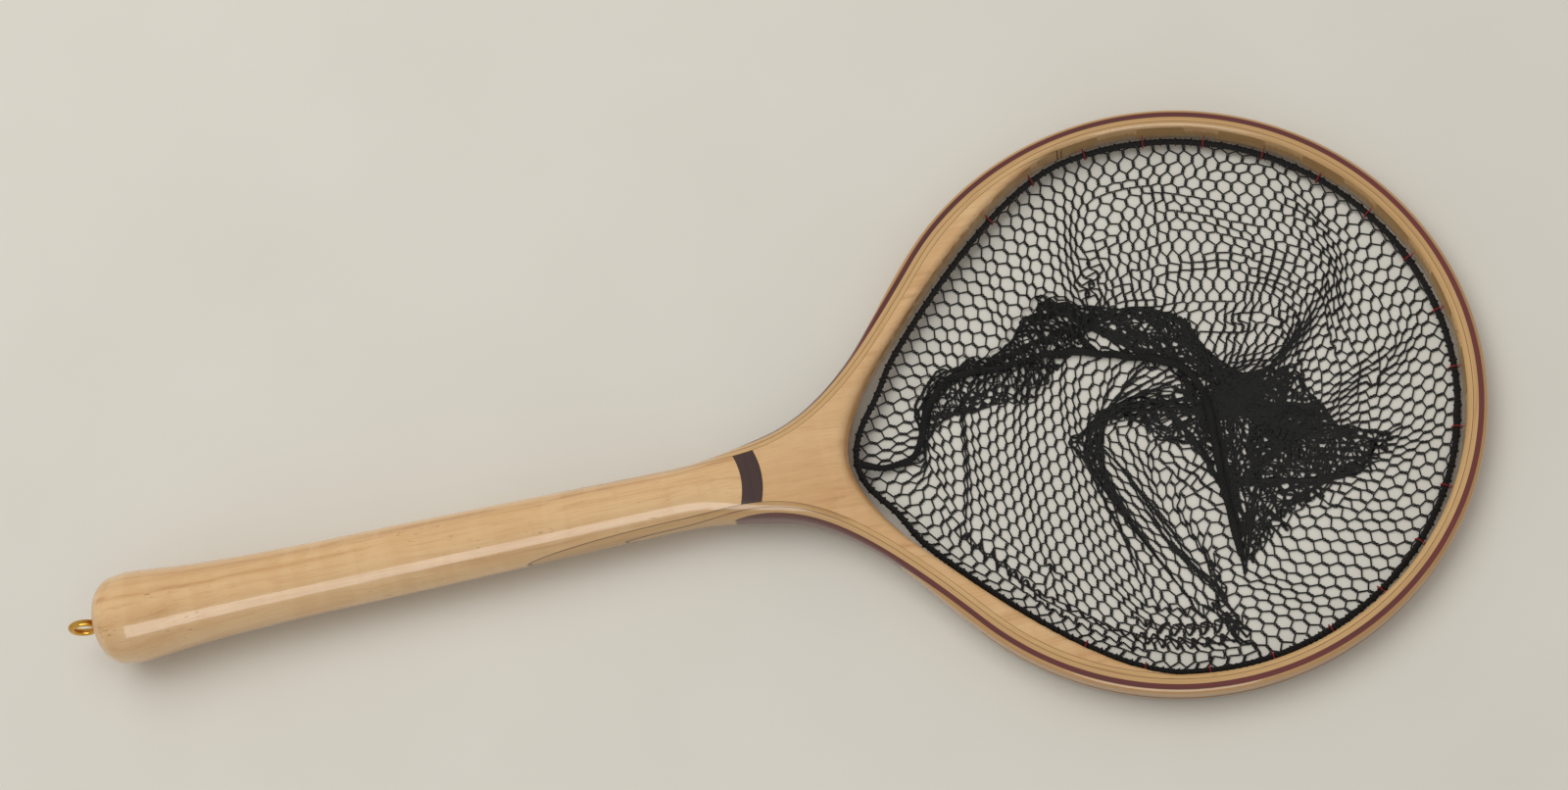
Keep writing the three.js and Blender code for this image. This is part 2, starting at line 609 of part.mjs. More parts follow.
// Lay the net on the table: bulb and far side of the hoop down, origin under the middle.
net.rotation.y = TILT;
net.updateMatrixWorld(true);
const box = new THREE.Box3().setFromObject(net, true);
const centre = box.getCenter(new THREE.Vector3());
net.position.set(-centre.x, -centre.y, -box.min.z);

export default net;
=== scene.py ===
"""Looks for the landing net: fine wood, brass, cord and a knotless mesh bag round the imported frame."""
import json
import math

import bpy
import numpy as np
from mathutils import Matrix, Vector


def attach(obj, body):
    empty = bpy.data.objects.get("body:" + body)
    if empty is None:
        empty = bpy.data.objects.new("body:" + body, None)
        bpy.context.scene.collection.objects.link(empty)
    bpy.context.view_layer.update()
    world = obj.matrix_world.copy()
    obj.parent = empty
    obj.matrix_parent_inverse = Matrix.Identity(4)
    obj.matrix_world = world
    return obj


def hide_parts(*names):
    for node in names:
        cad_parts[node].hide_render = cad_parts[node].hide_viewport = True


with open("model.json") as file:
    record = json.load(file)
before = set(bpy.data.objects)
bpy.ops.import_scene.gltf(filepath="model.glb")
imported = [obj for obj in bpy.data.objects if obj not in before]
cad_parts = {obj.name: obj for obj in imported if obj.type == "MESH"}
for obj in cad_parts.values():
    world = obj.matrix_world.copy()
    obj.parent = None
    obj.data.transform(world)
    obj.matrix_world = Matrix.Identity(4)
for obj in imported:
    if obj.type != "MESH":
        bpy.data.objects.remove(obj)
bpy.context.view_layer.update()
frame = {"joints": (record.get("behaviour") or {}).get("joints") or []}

# ---- the design frame ----
# Wood is drawn in millimetres in the net's own frame: X along the handle from the butt, z = 0 in
# the middle of the hoop. The eye's hinge sits at that frame's origin, along its X axis.
HINGE = frame["joints"][0]
ORIGIN = np.array(HINGE["pos_m"])
X_AXIS = np.array(HINGE["axis"])
Z_AXIS = np.array([-X_AXIS[2], 0.0, X_AXIS[0]])


def to_row(points):
    """Millimetres in the net's own frame to metres in the row frame."""
    p = np.asarray(points, float) / 1000
    return ORIGIN + p[..., :1] * X_AXIS + p[..., 1:2] * np.array([0, 1, 0]) + p[..., 2:] * Z_AXIS


HOOP_X, HOOP_R = 543.0, 138.5
STRIPS = [("lamination_inner", 2.5), ("lamination_middle", 2.5), ("lamination_red", 2.3),
          ("lamination_outer", 2.2)]  # from the opening out, with their thicknesses
THICK = sum(t for _, t in STRIPS)
HALF_HEIGHT, HOOP_ROUND = 8.0, 3.0
GRIP_END, BUTT_FLAT, BUTT_ROUND, NECK = 300.0, 9.0, 12.0, 15.5
CORE_W, BAND_X, BAND_LENGTH, BAND_BOW, THROAT_X = 12.5, 329.0, 10.0, 2.3, 384.0
ARC_END, HORN_END = math.radians(140), math.radians(100)
THROAT_ROUND = 6.0
HOLE_Z, THREAD_R, CORD_R = -2.2, 0.45, 1.6
GROOVE_W, GROOVE_D = 1.7, 1.5
STITCH_R = CORD_R + 0.3 + THREAD_R
CORD_INSET = STITCH_R + THREAD_R + 0.3
CORD_Z = HOLE_Z - STITCH_R
GLUE = 0.08          # open joint between neighbouring pieces
GLUE_STAIN = 0.24    # width of the dark glue line on each piece
THINNEST = 0.03


def arr(*rows):
    return np.array(rows, float)


def smooth(x, a, b):
    t = np.clip((np.asarray(x, float) - a) / (b - a), 0, 1)
    return t * t * (3 - 2 * t)


def ease(keys, x):
    x = np.asarray(x, float)
    value = np.full(x.shape, float(keys[0][1]))
    for (x0, v0), (x1, v1) in zip(keys, keys[1:]):
        value += (v1 - v0) * smooth(x, x0, x1)
    return value


def bezier(p0, p1, p2, p3, n):
    t = np.linspace(0, 1, n + 1)[:, None]
    s = 1 - t
    return s ** 3 * p0 + 3 * s * s * t * p1 + 3 * s * t * t * p2 + t ** 3 * p3


def catmull_rom(a, b, c, d, t):
    """Points between b and c on the curve through a, b, c and d."""
    v0, v1 = (c - a) / 2, (d - b) / 2
    return (2 * b - 2 * c + v0 + v1) * t ** 3 + (-3 * b + 3 * c - 2 * v0 - v1) * t ** 2 + v0 * t + b


def spline(points, n):
    """Open curve through points, n samples to each span."""
    p = np.asarray(points, float)
    ends = np.vstack([p[:1], p, p[-1:]])
    t = np.linspace(0, 1, n, endpoint=False)[:, None]
    spans = [catmull_rom(*ends[i:i + 4], t) for i in range(len(p) - 1)]
    return np.vstack(spans + [p[-1:]])


def closed_curve(knots, u):
    """Closed curve through evenly numbered knots, at fractions u of a turn."""
    n = len(knots)
    k = np.floor(u * n).astype(int) % n
    before, here, after, beyond = (knots[(k + step) % n] for step in (-1, 0, 1, 2))
    return catmull_rom(before, here, after, beyond, (u * n % 1)[:, None])


def walked_length(path):
    return np.r_[0, np.cumsum(np.linalg.norm(np.diff(path, axis=0), axis=1))]


def walk(path, step):
    """The path again at even steps, with the distance walked to each point."""
    d = walked_length(path)
    s = np.linspace(0, d[-1], max(int(round(d[-1] / step)), 1) + 1)
    return np.stack([np.interp(s, d, path[:, k]) for k in range(path.shape[1])], 1), s


def on_arc(angle, radius):
    angle = np.asarray(angle, float)
    return np.stack([HOOP_X + radius * np.cos(angle), radius * np.sin(angle)], -1)


# The guide is the face between core and innermost strip, out along one side and back on the other.
arc_start = on_arc(ARC_END, HOOP_R)
arc_dir = np.array([math.sin(ARC_END), -math.cos(ARC_END)])
side_path = np.vstack([
    bezier(arr(215, 17), arr(250, 13.2), arr(285, CORE_W), arr(325, CORE_W), 300)[:-1],
    bezier(arr(325, CORE_W), arr(365, CORE_W), arc_start - 75 * arc_dir, arc_start, 500)[:-1],
    on_arc(np.linspace(ARC_END, 0, 700), HOOP_R),
])
GUIDE_STEP = 1.5
half_path, _ = walk(side_path, GUIDE_STEP)
guide = np.vstack([half_path, half_path[-2::-1] * [1, -1]])
tangent = np.gradient(guide, axis=0)
tangent /= np.linalg.norm(tangent, axis=1)[:, None]
guide_out = np.stack([-tangent[:, 1], tangent[:, 0]], 1)
guide_s = np.arange(len(guide)) * GUIDE_STEP

taper = spline([(BUTT_ROUND, 22.3), (18, 23), (30, 22.1), (46, 20.5), (72, 19), (112, 17.9), (172, 17.3),
                (250, 16.1), (GRIP_END, NECK)], 40)


def core_half(x):
    x = np.asarray(x, float)
    return np.where(x < side_path[0, 0], 46, np.interp(x, half_path[:, 0], half_path[:, 1]))


def grip_radius(x):
    x = np.asarray(x, float)
    t = np.clip(1 - x / BUTT_ROUND, 0, 1)
    butt = BUTT_FLAT + (taper[0, 1] - BUTT_FLAT) * np.sqrt(1 - t * t)
    return np.where(x < BUTT_ROUND, butt, np.interp(x, taper[:, 0], taper[:, 1]))


def carved(keys, handle):
    """A carved dimension: one rule along the grip and eased keys beyond it."""
    return lambda x: np.where(np.asarray(x) < GRIP_END, handle(x), ease(keys, x))


edge_offset = carved([(GRIP_END, NECK - CORE_W), (345, 7), (395, 7.1), (432, THICK)],
                     lambda x: grip_radius(x) - core_half(x))
centre_height = carved([(GRIP_END, NECK), (345, 12), (405, HALF_HEIGHT)], grip_radius)
edge_round = carved([(GRIP_END, NECK), (345, 9), (430, HOOP_ROUND)], grip_radius)


def drop(distance, radius):
    t = 1 - np.clip(distance / radius, 0, 1)
    return radius * (1 - np.sqrt(1 - t * t))


def half_height(x, from_outer, from_opening):
    opening = ease([(THROAT_X, THROAT_ROUND), (430, HOOP_ROUND)], x)
    height = centre_height(x) - drop(from_outer, edge_round(x)) - drop(from_opening, opening)
    return np.maximum(height, THINNEST)


# Edge of the opening on one side, from the apex along the horn to the hoop.
horn_tip, horn_dir = on_arc(HORN_END, HOOP_R), np.array([math.sin(HORN_END), -math.cos(HORN_END)])
horn_root, horn_slope = np.array([409.0, 49.0]), np.array([0.67, 0.74])
nose = bezier(arr(THROAT_X, 0), arr(THROAT_X, 17), horn_root - 14 * horn_slope, horn_root, 160)
horn = bezier(horn_root, horn_root + 30 * horn_slope, horn_tip - 40 * horn_dir, horn_tip, 240)
opening_side = np.vstack([nose[:-1], horn[:-1], on_arc(np.linspace(HORN_END, 0, 240), HOOP_R)])
opening_edge = np.vstack([opening_side, opening_side[-2:0:-1] * [1, -1]])


def opening_distance(points):
    """Distance in plan from the edge of the opening."""
    flat = points.reshape(-1, 2)
    best = np.full(len(flat), 1e9)
    for block in np.array_split(opening_edge, 12):
        best = np.minimum(best, ((flat[:, None] - block[None]) ** 2).sum(-1).min(1))
    return np.sqrt(best).reshape(points.shape[:-1])


# ---- meshes ----
def signed_volume(v, tris):
    a, b, c = v[tris[:, 0]], v[tris[:, 1]], v[tris[:, 2]]
    return np.einsum("ij,ij->", a, np.cross(b, c))


def piece(name, verts, faces, material, slot, body="net", replaces=(), sharp=38, **attributes):
    """A mesh object from millimetre points in the net's frame and lists of equal-sided faces."""
    verts = to_row(verts)
    tris = np.vstack([f[:, [0, i, i + 1]] for f in faces for i in range(1, f.shape[1] - 1)])
    if signed_volume(verts - verts.mean(0), tris) < 0:
        faces = [f[:, ::-1] for f in faces]
    mesh = bpy.data.meshes.new(name)
    mesh.vertices.add(len(verts))
    mesh.vertices.foreach_set("co", verts.astype(np.float32).ravel())
    loops = np.concatenate([f.ravel() for f in faces]).astype(np.int32)
    sizes = np.concatenate([np.full(len(f), f.shape[1]) for f in faces])
    mesh.loops.add(len(loops))
    mesh.loops.foreach_set("vertex_index", loops)
    mesh.polygons.add(len(sizes))
    mesh.polygons.foreach_set("loop_start", np.r_[0, np.cumsum(sizes)[:-1]].astype(np.int32))
    mesh.update(calc_edges=True)
    mesh.shade_smooth()
    mesh.set_sharp_from_angle(angle=math.radians(sharp))
    for key, value in attributes.items():
        kind = "FLOAT_VECTOR" if value.ndim == 2 else "FLOAT"
        layer = mesh.attributes.new(key, kind, "POINT")
        layer.data.foreach_set("vector" if value.ndim == 2 else "value", value.astype(np.float32).ravel())
    mesh.materials.append(material)
    obj = bpy.data.objects.new(name, mesh)
    bpy.context.scene.collection.objects.link(obj)
    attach(obj, body)
    if replaces:
        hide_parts(*replaces)
    return obj


def loft(rings, closed=False):
    """Vertices and faces of a skin over equal rings, capped at the ends unless it closes on itself."""
    r, n, _ = rings.shape
    verts = rings.reshape(-1, 3)
    i = np.arange(r if closed else r - 1)[:, None]
    j = np.arange(n)[None]
    k, m = (j + 1) % n, (i + 1) % r
    faces = [np.stack([i * n + j, i * n + k, m * n + k, m * n + j], -1).reshape(-1, 4)]
    if not closed:
        verts = np.vstack([verts, rings[0].mean(0), rings[-1].mean(0)])
        j, k = j[0], k[0]
        last = (r - 1) * n
        faces.append(np.stack([np.full(n, r * n), k, j], 1))
        faces.append(np.stack([np.full(n, r * n + 1), last + j, last + k], 1))
    return verts, faces


def per_ring(values, closed=False):
    """Ring values laid out for loft's vertices, with the mean for each cap's centre."""
    flat = values.reshape(-1, *values.shape[2:])
    return flat if closed else np.concatenate([flat, values[:1].mean(1), values[-1:].mean(1)])


# ---- materials ----
def srgb(r, g, b):
    """Linear colour from display values of 0 to 255."""
    shown = (r / 255, g / 255, b / 255)
    return (*(c / 12.92 if c <= 0.04045 else ((c + 0.055) / 1.055) ** 2.4 for c in shown), 1)


class Nodes:
    """Short hand for building a node material."""

    def __init__(self, name):
        self.material = bpy.data.materials.new(name)
        self.material.use_nodes = True
        self.tree = self.material.node_tree
        self.bsdf = self.tree.nodes["Principled BSDF"]

    def link(self, value, socket):
        if isinstance(value, bpy.types.NodeSocket):
            self.tree.links.new(value, socket)
        else:
            socket.default_value = value

    def node(self, kind, inputs=None, **settings):
        node = self.tree.nodes.new(kind)
        for key, value in settings.items():
            setattr(node, key, value)
        for key, value in (inputs or {}).items():
            self.link(value, node.inputs[key])
        return node

    def attribute(self, name, output="Vector"):
        return self.node("ShaderNodeAttribute", attribute_name=name).outputs[output]

    def scaled(self, vector, scale, location=(0, 0, 0)):
        inputs = {"Vector": vector, "Scale": scale, "Location": location}
        return self.node("ShaderNodeMapping", inputs).outputs[0]

    def noise(self, vector, scale, detail=3.0, rough=0.5, location=(0, 0, 0), warp=0.0):
        inputs = {"Vector": self.scaled(vector, scale, location), "Scale": 1.0, "Detail": detail,
                  "Roughness": rough, "Distortion": warp}
        return self.node("ShaderNodeTexNoise", inputs).outputs["Fac"]

    def ramp(self, value, low, high, start=0.0, end=1.0):
        inputs = {"Value": value, "From Min": low, "From Max": high, "To Min": start, "To Max": end}
        return self.node("ShaderNodeMapRange", inputs, interpolation_type="SMOOTHSTEP").outputs[0]

    def math(self, operation, a, b=0.0):
        return self.node("ShaderNodeMath", {0: a, 1: b}, operation=operation).outputs[0]

    def plus(self, a, b):
        return self.math("ADD", a, b)

    def times(self, a, b):
        return self.math("MULTIPLY", a, b)

    def mix(self, factor, a, b, blend="MIX"):
        node = self.node("ShaderNodeMix", data_type="RGBA", blend_type=blend)
        for key, value in ((0, factor), (6, a), (7, b)):
            self.link(value, node.inputs[key])
        return node.outputs[2]

    def bump(self, height, strength, distance):
        inputs = {"Height": height, "Strength": strength, "Distance": distance}
        return self.node("ShaderNodeBump", inputs).outputs[0]

    def set(self, **values):
        for key, value in values.items():
            self.link(value, self.bsdf.inputs[key.replace("_", " ")])
        return self.material


GLUE_COLOUR = srgb(92, 58, 26)


def wood(name, *colours, fibre=1.0, figure=0.0, fleck=0.0, seed=0.0, contrast=1.0):
    """Varnished wood, light, mid, dark and at its ends. Grain runs along the first grain coordinate."""
    light, mid, dark, end = (srgb(*colour) for colour in colours)
    n = Nodes(name)
    g = n.attribute("grain")
    warp = n.noise(g, (9, 22, 22), 2, 0.5, (seed, 0, 0))
    sideways = n.node("ShaderNodeCombineXYZ", {"Y": warp, "Z": warp}).outputs[0]
    shift = n.node("ShaderNodeVectorMath", {0: sideways, 1: (0, 0.012, 0.012)}, operation="MULTIPLY")
    bent = n.node("ShaderNodeVectorMath", {0: g, 1: shift.outputs[0]}, operation="ADD").outputs[0]
    broad = n.noise(bent, (3.5, 42, 42), 3, 0.55, (seed, seed, 0))
    rings = n.noise(bent, (2.2, 170 * fibre, 170 * fibre), 4, 0.6, (0, seed, seed))
    fine = n.noise(bent, (26, 1500 * fibre, 1500 * fibre), 2, 0.6, (seed, 0, seed))
    curl = n.noise(g, (85, 24, 24), 2, 0.5, (seed, 3, 0), 0.6)
    tone = n.plus(n.times(broad, 0.5), n.times(rings, 0.5))
    colour = n.mix(n.ramp(tone, 0.5 - 0.16 / contrast, 0.5 + 0.16 / contrast), light, mid)
    colour = n.mix(n.times(n.ramp(rings, 0.56, 0.74), 0.55 * contrast), colour, dark)
    colour = n.mix(n.times(n.ramp(fine, 0.5, 0.75), 0.28 * contrast), colour, dark)
    if figure:
        colour = n.mix(n.times(n.ramp(curl, 0.42, 0.66), 0.34 * figure), colour, mid)
        colour = n.mix(n.times(n.ramp(curl, 0.5, 0.3), 0.3 * figure), colour, light)
    if fleck:
        dash = n.noise(g, (190, 950, 950), 1, 0.4, (seed, seed, 1))
        patch = n.noise(g, (30, 60, 60), 1, 0.4, (seed, 1, seed))
        mark = n.times(n.ramp(dash, 0.68, 0.76), n.ramp(patch, 0.45, 0.6))
        colour = n.mix(n.times(mark, 0.7 * fleck), colour, dark)
    colour = n.mix(n.attribute("end", "Fac"), colour, end)
    colour = n.mix(n.times(n.ramp(n.attribute("glue", "Fac"), 0.25, 0.95), 0.8), colour, GLUE_COLOUR)
    skin = n.noise(g, (60, 160, 160), 2, 0.4, (seed, 2, 2))
    return n.set(
        Base_Color=colour, Roughness=n.ramp(fine, 0.3, 0.8, 0.34, 0.5), Coat_Weight=1.0,
        Coat_Roughness=0.035, Coat_IOR=1.5, Normal=n.bump(fine, 0.12, 0.0002),
        Coat_Normal=n.bump(skin, 0.10, 0.0004))


maple = wood("maple_varnished", (228, 190, 138), (212, 166, 110), (166, 114, 62), (184, 124, 66),
             figure=1.0, fleck=1.0, seed=4.0)
maple_block = wood("maple_block_varnished", (222, 182, 130), (205, 158, 104), (172, 120, 68),
                   (186, 130, 72), figure=0.8, fleck=0.25, seed=11.0)
ash_inner = wood("ash_inner_varnished", (212, 172, 116), (192, 148, 90), (146, 98, 48), (160, 112, 60),
                 fibre=1.3, fleck=0.4, seed=21.0)
ash_middle = wood("ash_middle_varnished", (206, 165, 110), (186, 142, 86), (138, 92, 46), (160, 112, 60),
                  fibre=1.3, fleck=0.3, seed=33.0)
ash_outer = wood("ash_outer_varnished", (192, 146, 88), (170, 122, 66), (124, 80, 38), (160, 112, 60),
                 fibre=1.3, fleck=0.3, seed=45.0)
bloodwood = wood("bloodwood_varnished", (108, 20, 15), (78, 13, 10), (40, 7, 6), (56, 11, 8),
                 fibre=1.6, seed=57.0)
rosewood = wood("rosewood_varnished", (66, 27, 17), (46, 17, 12), (22, 9, 7), (40, 16, 11),
                fibre=1.2, seed=63.0, contrast=1.3)


# ---- wood: strips ----
def place(stations, offset, z):
    """Points at offsets out from guide stations."""
    plan = guide[stations][:, None] + guide_out[stations][:, None] * offset[..., None]
    return np.concatenate([plan, z[..., None]], -1)


STRIP_SAMPLES, THINNEST_STRIP = 6, 0.04
GLUED_FROM = 0.75      # the innermost strip is glued where the opening's edge is farther off than this


def strip(name, inside, outside, material, slot):
    """One bent strip between two offsets from the guide, cut off where the carving runs it out."""
    edge = edge_offset(guide[:, 0])
    last = outside >= THICK - 1e-6
    low = np.full(len(guide), inside + GLUE / 2)
    high = np.minimum(outside - (0 if last else GLUE / 2), edge)
    keep = np.flatnonzero(high - low > THINNEST_STRIP)
    keep = np.arange(keep[0], keep[-1] + 1)
    low, high, edge = low[keep], high[keep], edge[keep]
    width = high - low
    stain = np.minimum(GLUE_STAIN, 0.2 * width)
    inner = np.linspace(0, 1, STRIP_SAMPLES)
    between = (low + stain)[:, None] + (width - 2 * stain)[:, None] * inner
    offset = np.concatenate([low[:, None], between, high[:, None]], 1)
    plan = guide[keep][:, None] + guide_out[keep][:, None] * offset[..., None]
    x = np.repeat(guide[keep, :1], offset.shape[1], 1)
    height = half_height(x, edge[:, None] - offset, opening_distance(plan))
    glue = np.zeros_like(offset)
    glue[:, 0] = opening_distance(plan[:, 0]) > GLUED_FROM if inside == 0 else True
    if not last:
        glue[:, -1] = edge > outside + 0.05
    rows = [place(keep, offset, height)]
    spread = [offset]
    glues = [glue]
    if last:  # the lacing's groove runs round the outside of the hoop
        hoop = np.abs(np.arctan2(guide[keep, 1], guide[keep, 0] - HOOP_X)) < ARC_END
        floor = high - np.where(hoop, np.minimum(GROOVE_D, width * 0.7), 0.02)
        lip = np.minimum(GROOVE_W / 2, height[:, -1] * 0.3)
        wall = np.stack([high, floor, floor, high], 1)
        z = HOLE_Z * np.minimum(1, height[:, -1] / 4)[:, None] + np.stack([lip, lip, -lip, -lip], 1)
        rows.append(place(keep, wall, z))
        spread.append(wall)
        glues.append(np.zeros_like(wall))
    rows.append(place(keep, offset[:, ::-1], -height[:, ::-1]))
    spread.append(offset[:, ::-1])
    glues.append(glue[:, ::-1])
    rings = np.concatenate(rows, 1)
    along = np.repeat(guide_s[keep][:, None], rings.shape[1], 1)
    grain = np.stack([along, np.concatenate(spread, 1), rings[..., 2]], -1) / 1000
    verts, faces = loft(rings)
    return piece(name.replace("lamination", "strip"), verts, faces, material, slot, replaces=[name],
                 grain=per_ring(grain), glue=per_ring(np.concatenate(glues, 1)),
                 end=np.zeros(len(verts)))


start = 0.0
for (node, thickness), material, slot in zip(
        STRIPS, [ash_inner, ash_middle, bloodwood, ash_outer], ["ash", "ash", "bloodwood", "ash"]):
    strip(node, start, start + thickness, material, slot)
    start += thickness


# ---- wood: core and accent band ----
CORE_SIDES = 56
BUTT_STATIONS, GRIP_STEP, BAND_STATIONS = 18, 1.5, 7
BOW_FROM, BOW_TO = 296, 328     # over this stretch the grip takes up the band's bow
PILOT_R, PILOT_DEPTH, PILOT_LEAD = 1.95, 24, 0.5
BAND_GLUE = 0.4


def core_rings(x, bow):
    """Sections of the core at stations x, and how close each point is to a glued face."""
    half = core_half(x) - GLUE / 2
    outer = np.where(x < GRIP_END, grip_radius(x), core_half(x) + edge_offset(x))
    first = np.arccos(np.minimum(half / outer, 1))
    turn = first[:, None] + (math.pi - 2 * first)[:, None] * np.linspace(0, 1, CORE_SIDES)
    y = outer[:, None] * np.cos(turn)
    cut = half < outer
    for near, sign in ((1, 1), (-2, -1)):
        y[:, near] = np.where(cut, sign * (half - GLUE_STAIN), y[:, near])
    flat = np.repeat(x[:, None], CORE_SIDES, 1)
    height = half_height(flat, outer[:, None] - np.abs(y), np.full(y.shape, 1e3))
    round_grip = np.sqrt(np.maximum(outer[:, None] ** 2 - y ** 2, THINNEST ** 2))
    height = np.where(flat < GRIP_END, round_grip, height)
    shift = flat + bow[:, None] * (1 - (y / np.minimum(half, outer)[:, None]) ** 2)
    top = np.stack([shift, y, height], -1)
    bottom = np.stack([shift, y, -height], -1)[:, ::-1]
    glue = np.zeros(y.shape)
    glue[:, [0, -1]] = cut[:, None]
    return np.concatenate([top, bottom], 1), np.concatenate([glue, glue[:, ::-1]], 1)


def end_grain(verts, faces, low, high):
    """How squarely each point of a wood piece faces along the grain."""
    normal = np.zeros_like(verts)
    for f in faces:
        n = np.cross(verts[f[:, 1]] - verts[f[:, 0]], verts[f[:, -1]] - verts[f[:, 0]])
        for k in range(f.shape[1]):
            np.add.at(normal, f[:, k], n)
    normal /= np.maximum(np.linalg.norm(normal, axis=1), 1e-9)[:, None]
    return smooth(np.abs(normal[:, 0]), low, high)


def butt_ring(face_turn, radius, x):
    y, z = radius * np.cos(face_turn), radius * np.sin(face_turn)
    return np.stack([np.full(face_turn.shape, x), y, z], 1)


def build_grip():
    """The turned grip, with the screw eye's pilot hole open in the flat of the butt."""
    butt_turn = np.linspace(0, math.pi / 2, BUTT_STATIONS)[1:]
    x = np.r_[0.001, BUTT_ROUND * (1 - np.cos(butt_turn)),
              np.arange(BUTT_ROUND + GRIP_STEP, BAND_X - 1, GRIP_STEP),
              BAND_X - GLUE / 2 - GLUE_STAIN, BAND_X - GLUE / 2]
    rings, glue = core_rings(x, BAND_BOW * smooth(x, BOW_FROM, BOW_TO))
    glue[-1] = 1
    face_turn = np.arctan2(rings[0, :, 2], rings[0, :, 1])
    hole = np.stack([butt_ring(face_turn, radius, at) for radius, at in (
        (0.2, PILOT_DEPTH), (PILOT_R, PILOT_DEPTH), (PILOT_R, PILOT_LEAD), (PILOT_R + 0.4, 0), (5.5, 0))])
    verts, faces = loft(np.concatenate([hole, rings]))
    glue = np.concatenate([np.zeros(hole.shape[:2]), glue])
    on_butt = verts[:, 0] < 20
    piece("grip", verts, faces, maple, "maple", replaces=["handle_grip"], grain=verts / 1000,
          glue=per_ring(glue), end=end_grain(verts, faces, 0.5, 1.0) * on_butt * 0.75)


def build_accent_band():
    """The dark band, its grain across the net and a thin glue line on each face."""
    band_end = BAND_X + BAND_LENGTH - GLUE / 2
    x = np.r_[BAND_X + GLUE / 2, BAND_X + GLUE / 2 + GLUE_STAIN,
              BAND_X + np.linspace(1, BAND_LENGTH - 1, BAND_STATIONS), band_end - GLUE_STAIN, band_end]
    rings, glue = core_rings(x, np.full(len(x), BAND_BOW))
    verts, faces = loft(rings)
    piece("accent_band_fine", verts, faces, rosewood, "rosewood", replaces=["accent_band"],
          grain=verts[:, [1, 0, 2]] / 1000, glue=per_ring(glue * BAND_GLUE), end=np.zeros(len(verts)))


build_grip()
build_accent_band()

# ---- wood: throat block ----
BLOCK_BACK = BAND_X + BAND_LENGTH + GLUE / 2
BLOCK_SAMPLES, BLOCK_EASE, BAND_SAMPLES = 22, 1.7, 14
FRONT_LEAD = 0.012       # how far along the opening the horn's tip starts, as a part of its length


def carved_depth(plan):
    """Distance in from the outer edge of the frame, for points in plan."""
    flat = plan.reshape(-1, 2)
    near = np.stack([flat[:, 0], np.abs(flat[:, 1])], 1)
    depth = np.empty(len(near))
    for rows in np.array_split(np.arange(len(near)), 20):
        gap = near[rows][:, None] - half_path[None]
        at = (gap ** 2).sum(-1).argmin(1)
        away = -np.einsum("ij,ij->i", gap[np.arange(len(rows)), at], guide_out[at])
        depth[rows] = edge_offset(half_path[at, 0]) + away
    return depth.reshape(plan.shape[:2])


def build_throat_block():
    """The block with its two horns, as lines from the opening back to the glue."""
    tip = np.argmin(np.abs(np.arctan2(half_path[:, 1], half_path[:, 0] - HOOP_X) - HORN_END))
    first = np.flatnonzero(half_path[:, 0] > BLOCK_BACK)[0]
    backs = (half_path - guide_out[:len(half_path)] * GLUE / 2)[first:tip + 1][::-1]
    across = np.linspace(1, 0, BAND_SAMPLES)
    band_edge = float(core_half(BLOCK_BACK)) - GLUE / 2
    band_face = np.stack([BLOCK_BACK + BAND_BOW * (1 - across * across), band_edge * across], 1)
    backs = np.vstack([backs, band_face])
    walked = walked_length(backs)
    opening_walk, reach = walk(np.vstack([nose[:-1], horn])[::-1], 0.5)
    front_at = reach[-1] * (FRONT_LEAD + (1 - FRONT_LEAD) * walked / walked[-1])
    fronts = np.stack([np.interp(front_at, reach, opening_walk[:, k]) for k in (0, 1)], 1)
    fronts, backs = (np.vstack([p, p[-2::-1] * [1, -1]]) for p in (fronts, backs))
    depth = np.repeat(np.linspace(0, 1, BLOCK_SAMPLES)[None] ** BLOCK_EASE, len(fronts), 0)
    depth[:, -2] = 1 - np.minimum(GLUE_STAIN / np.linalg.norm(backs - fronts, axis=1), 0.3)
    plan = fronts[:, None] + (backs - fronts)[:, None] * depth[..., None]
    height = half_height(plan[..., 0], carved_depth(plan), opening_distance(plan))[..., None]
    top = np.concatenate([plan, height], -1)
    bottom = np.concatenate([plan, -height], -1)[:, ::-1]
    glue = np.zeros(plan.shape[:2])
    glue[:, -1] = 1
    verts, faces = loft(np.concatenate([top, bottom], 1))
    end = end_grain(verts, faces, 0.35, 1.0) * smooth(np.abs(verts[:, 1]), 75, 25) * 0.7
    piece("throat_block_fine", verts, faces, maple_block, "maple", replaces=["throat_block"],
          grain=verts / 1000, glue=per_ring(np.concatenate([glue, glue[:, ::-1]], 1)), end=end)


build_throat_block()

# ---- yarn, wire and their materials ----
def frames(path, closed=False):
    """Unit tangent and two normals at each point; a closed path must be roughly level."""
    t = np.roll(path, -1, 0) - np.roll(path, 1, 0) if closed else np.gradient(path, axis=0)
    t /= np.maximum(np.linalg.norm(t, axis=1), 1e-9)[:, None]
    a = np.cross(t, arr(0, 0, 1))
    if not closed:
        if np.linalg.norm(a[0]) < 0.1:
            a[0] = np.cross(t[0], arr(0, 1, 0))
        for i in range(1, len(t)):
            a[i] = a[i - 1] - t[i] * (a[i - 1] @ t[i])
            a[i] /= max(np.linalg.norm(a[i]), 1e-9)
    a /= np.maximum(np.linalg.norm(a, axis=1), 1e-9)[:, None]
    return t, a, np.cross(t, a)


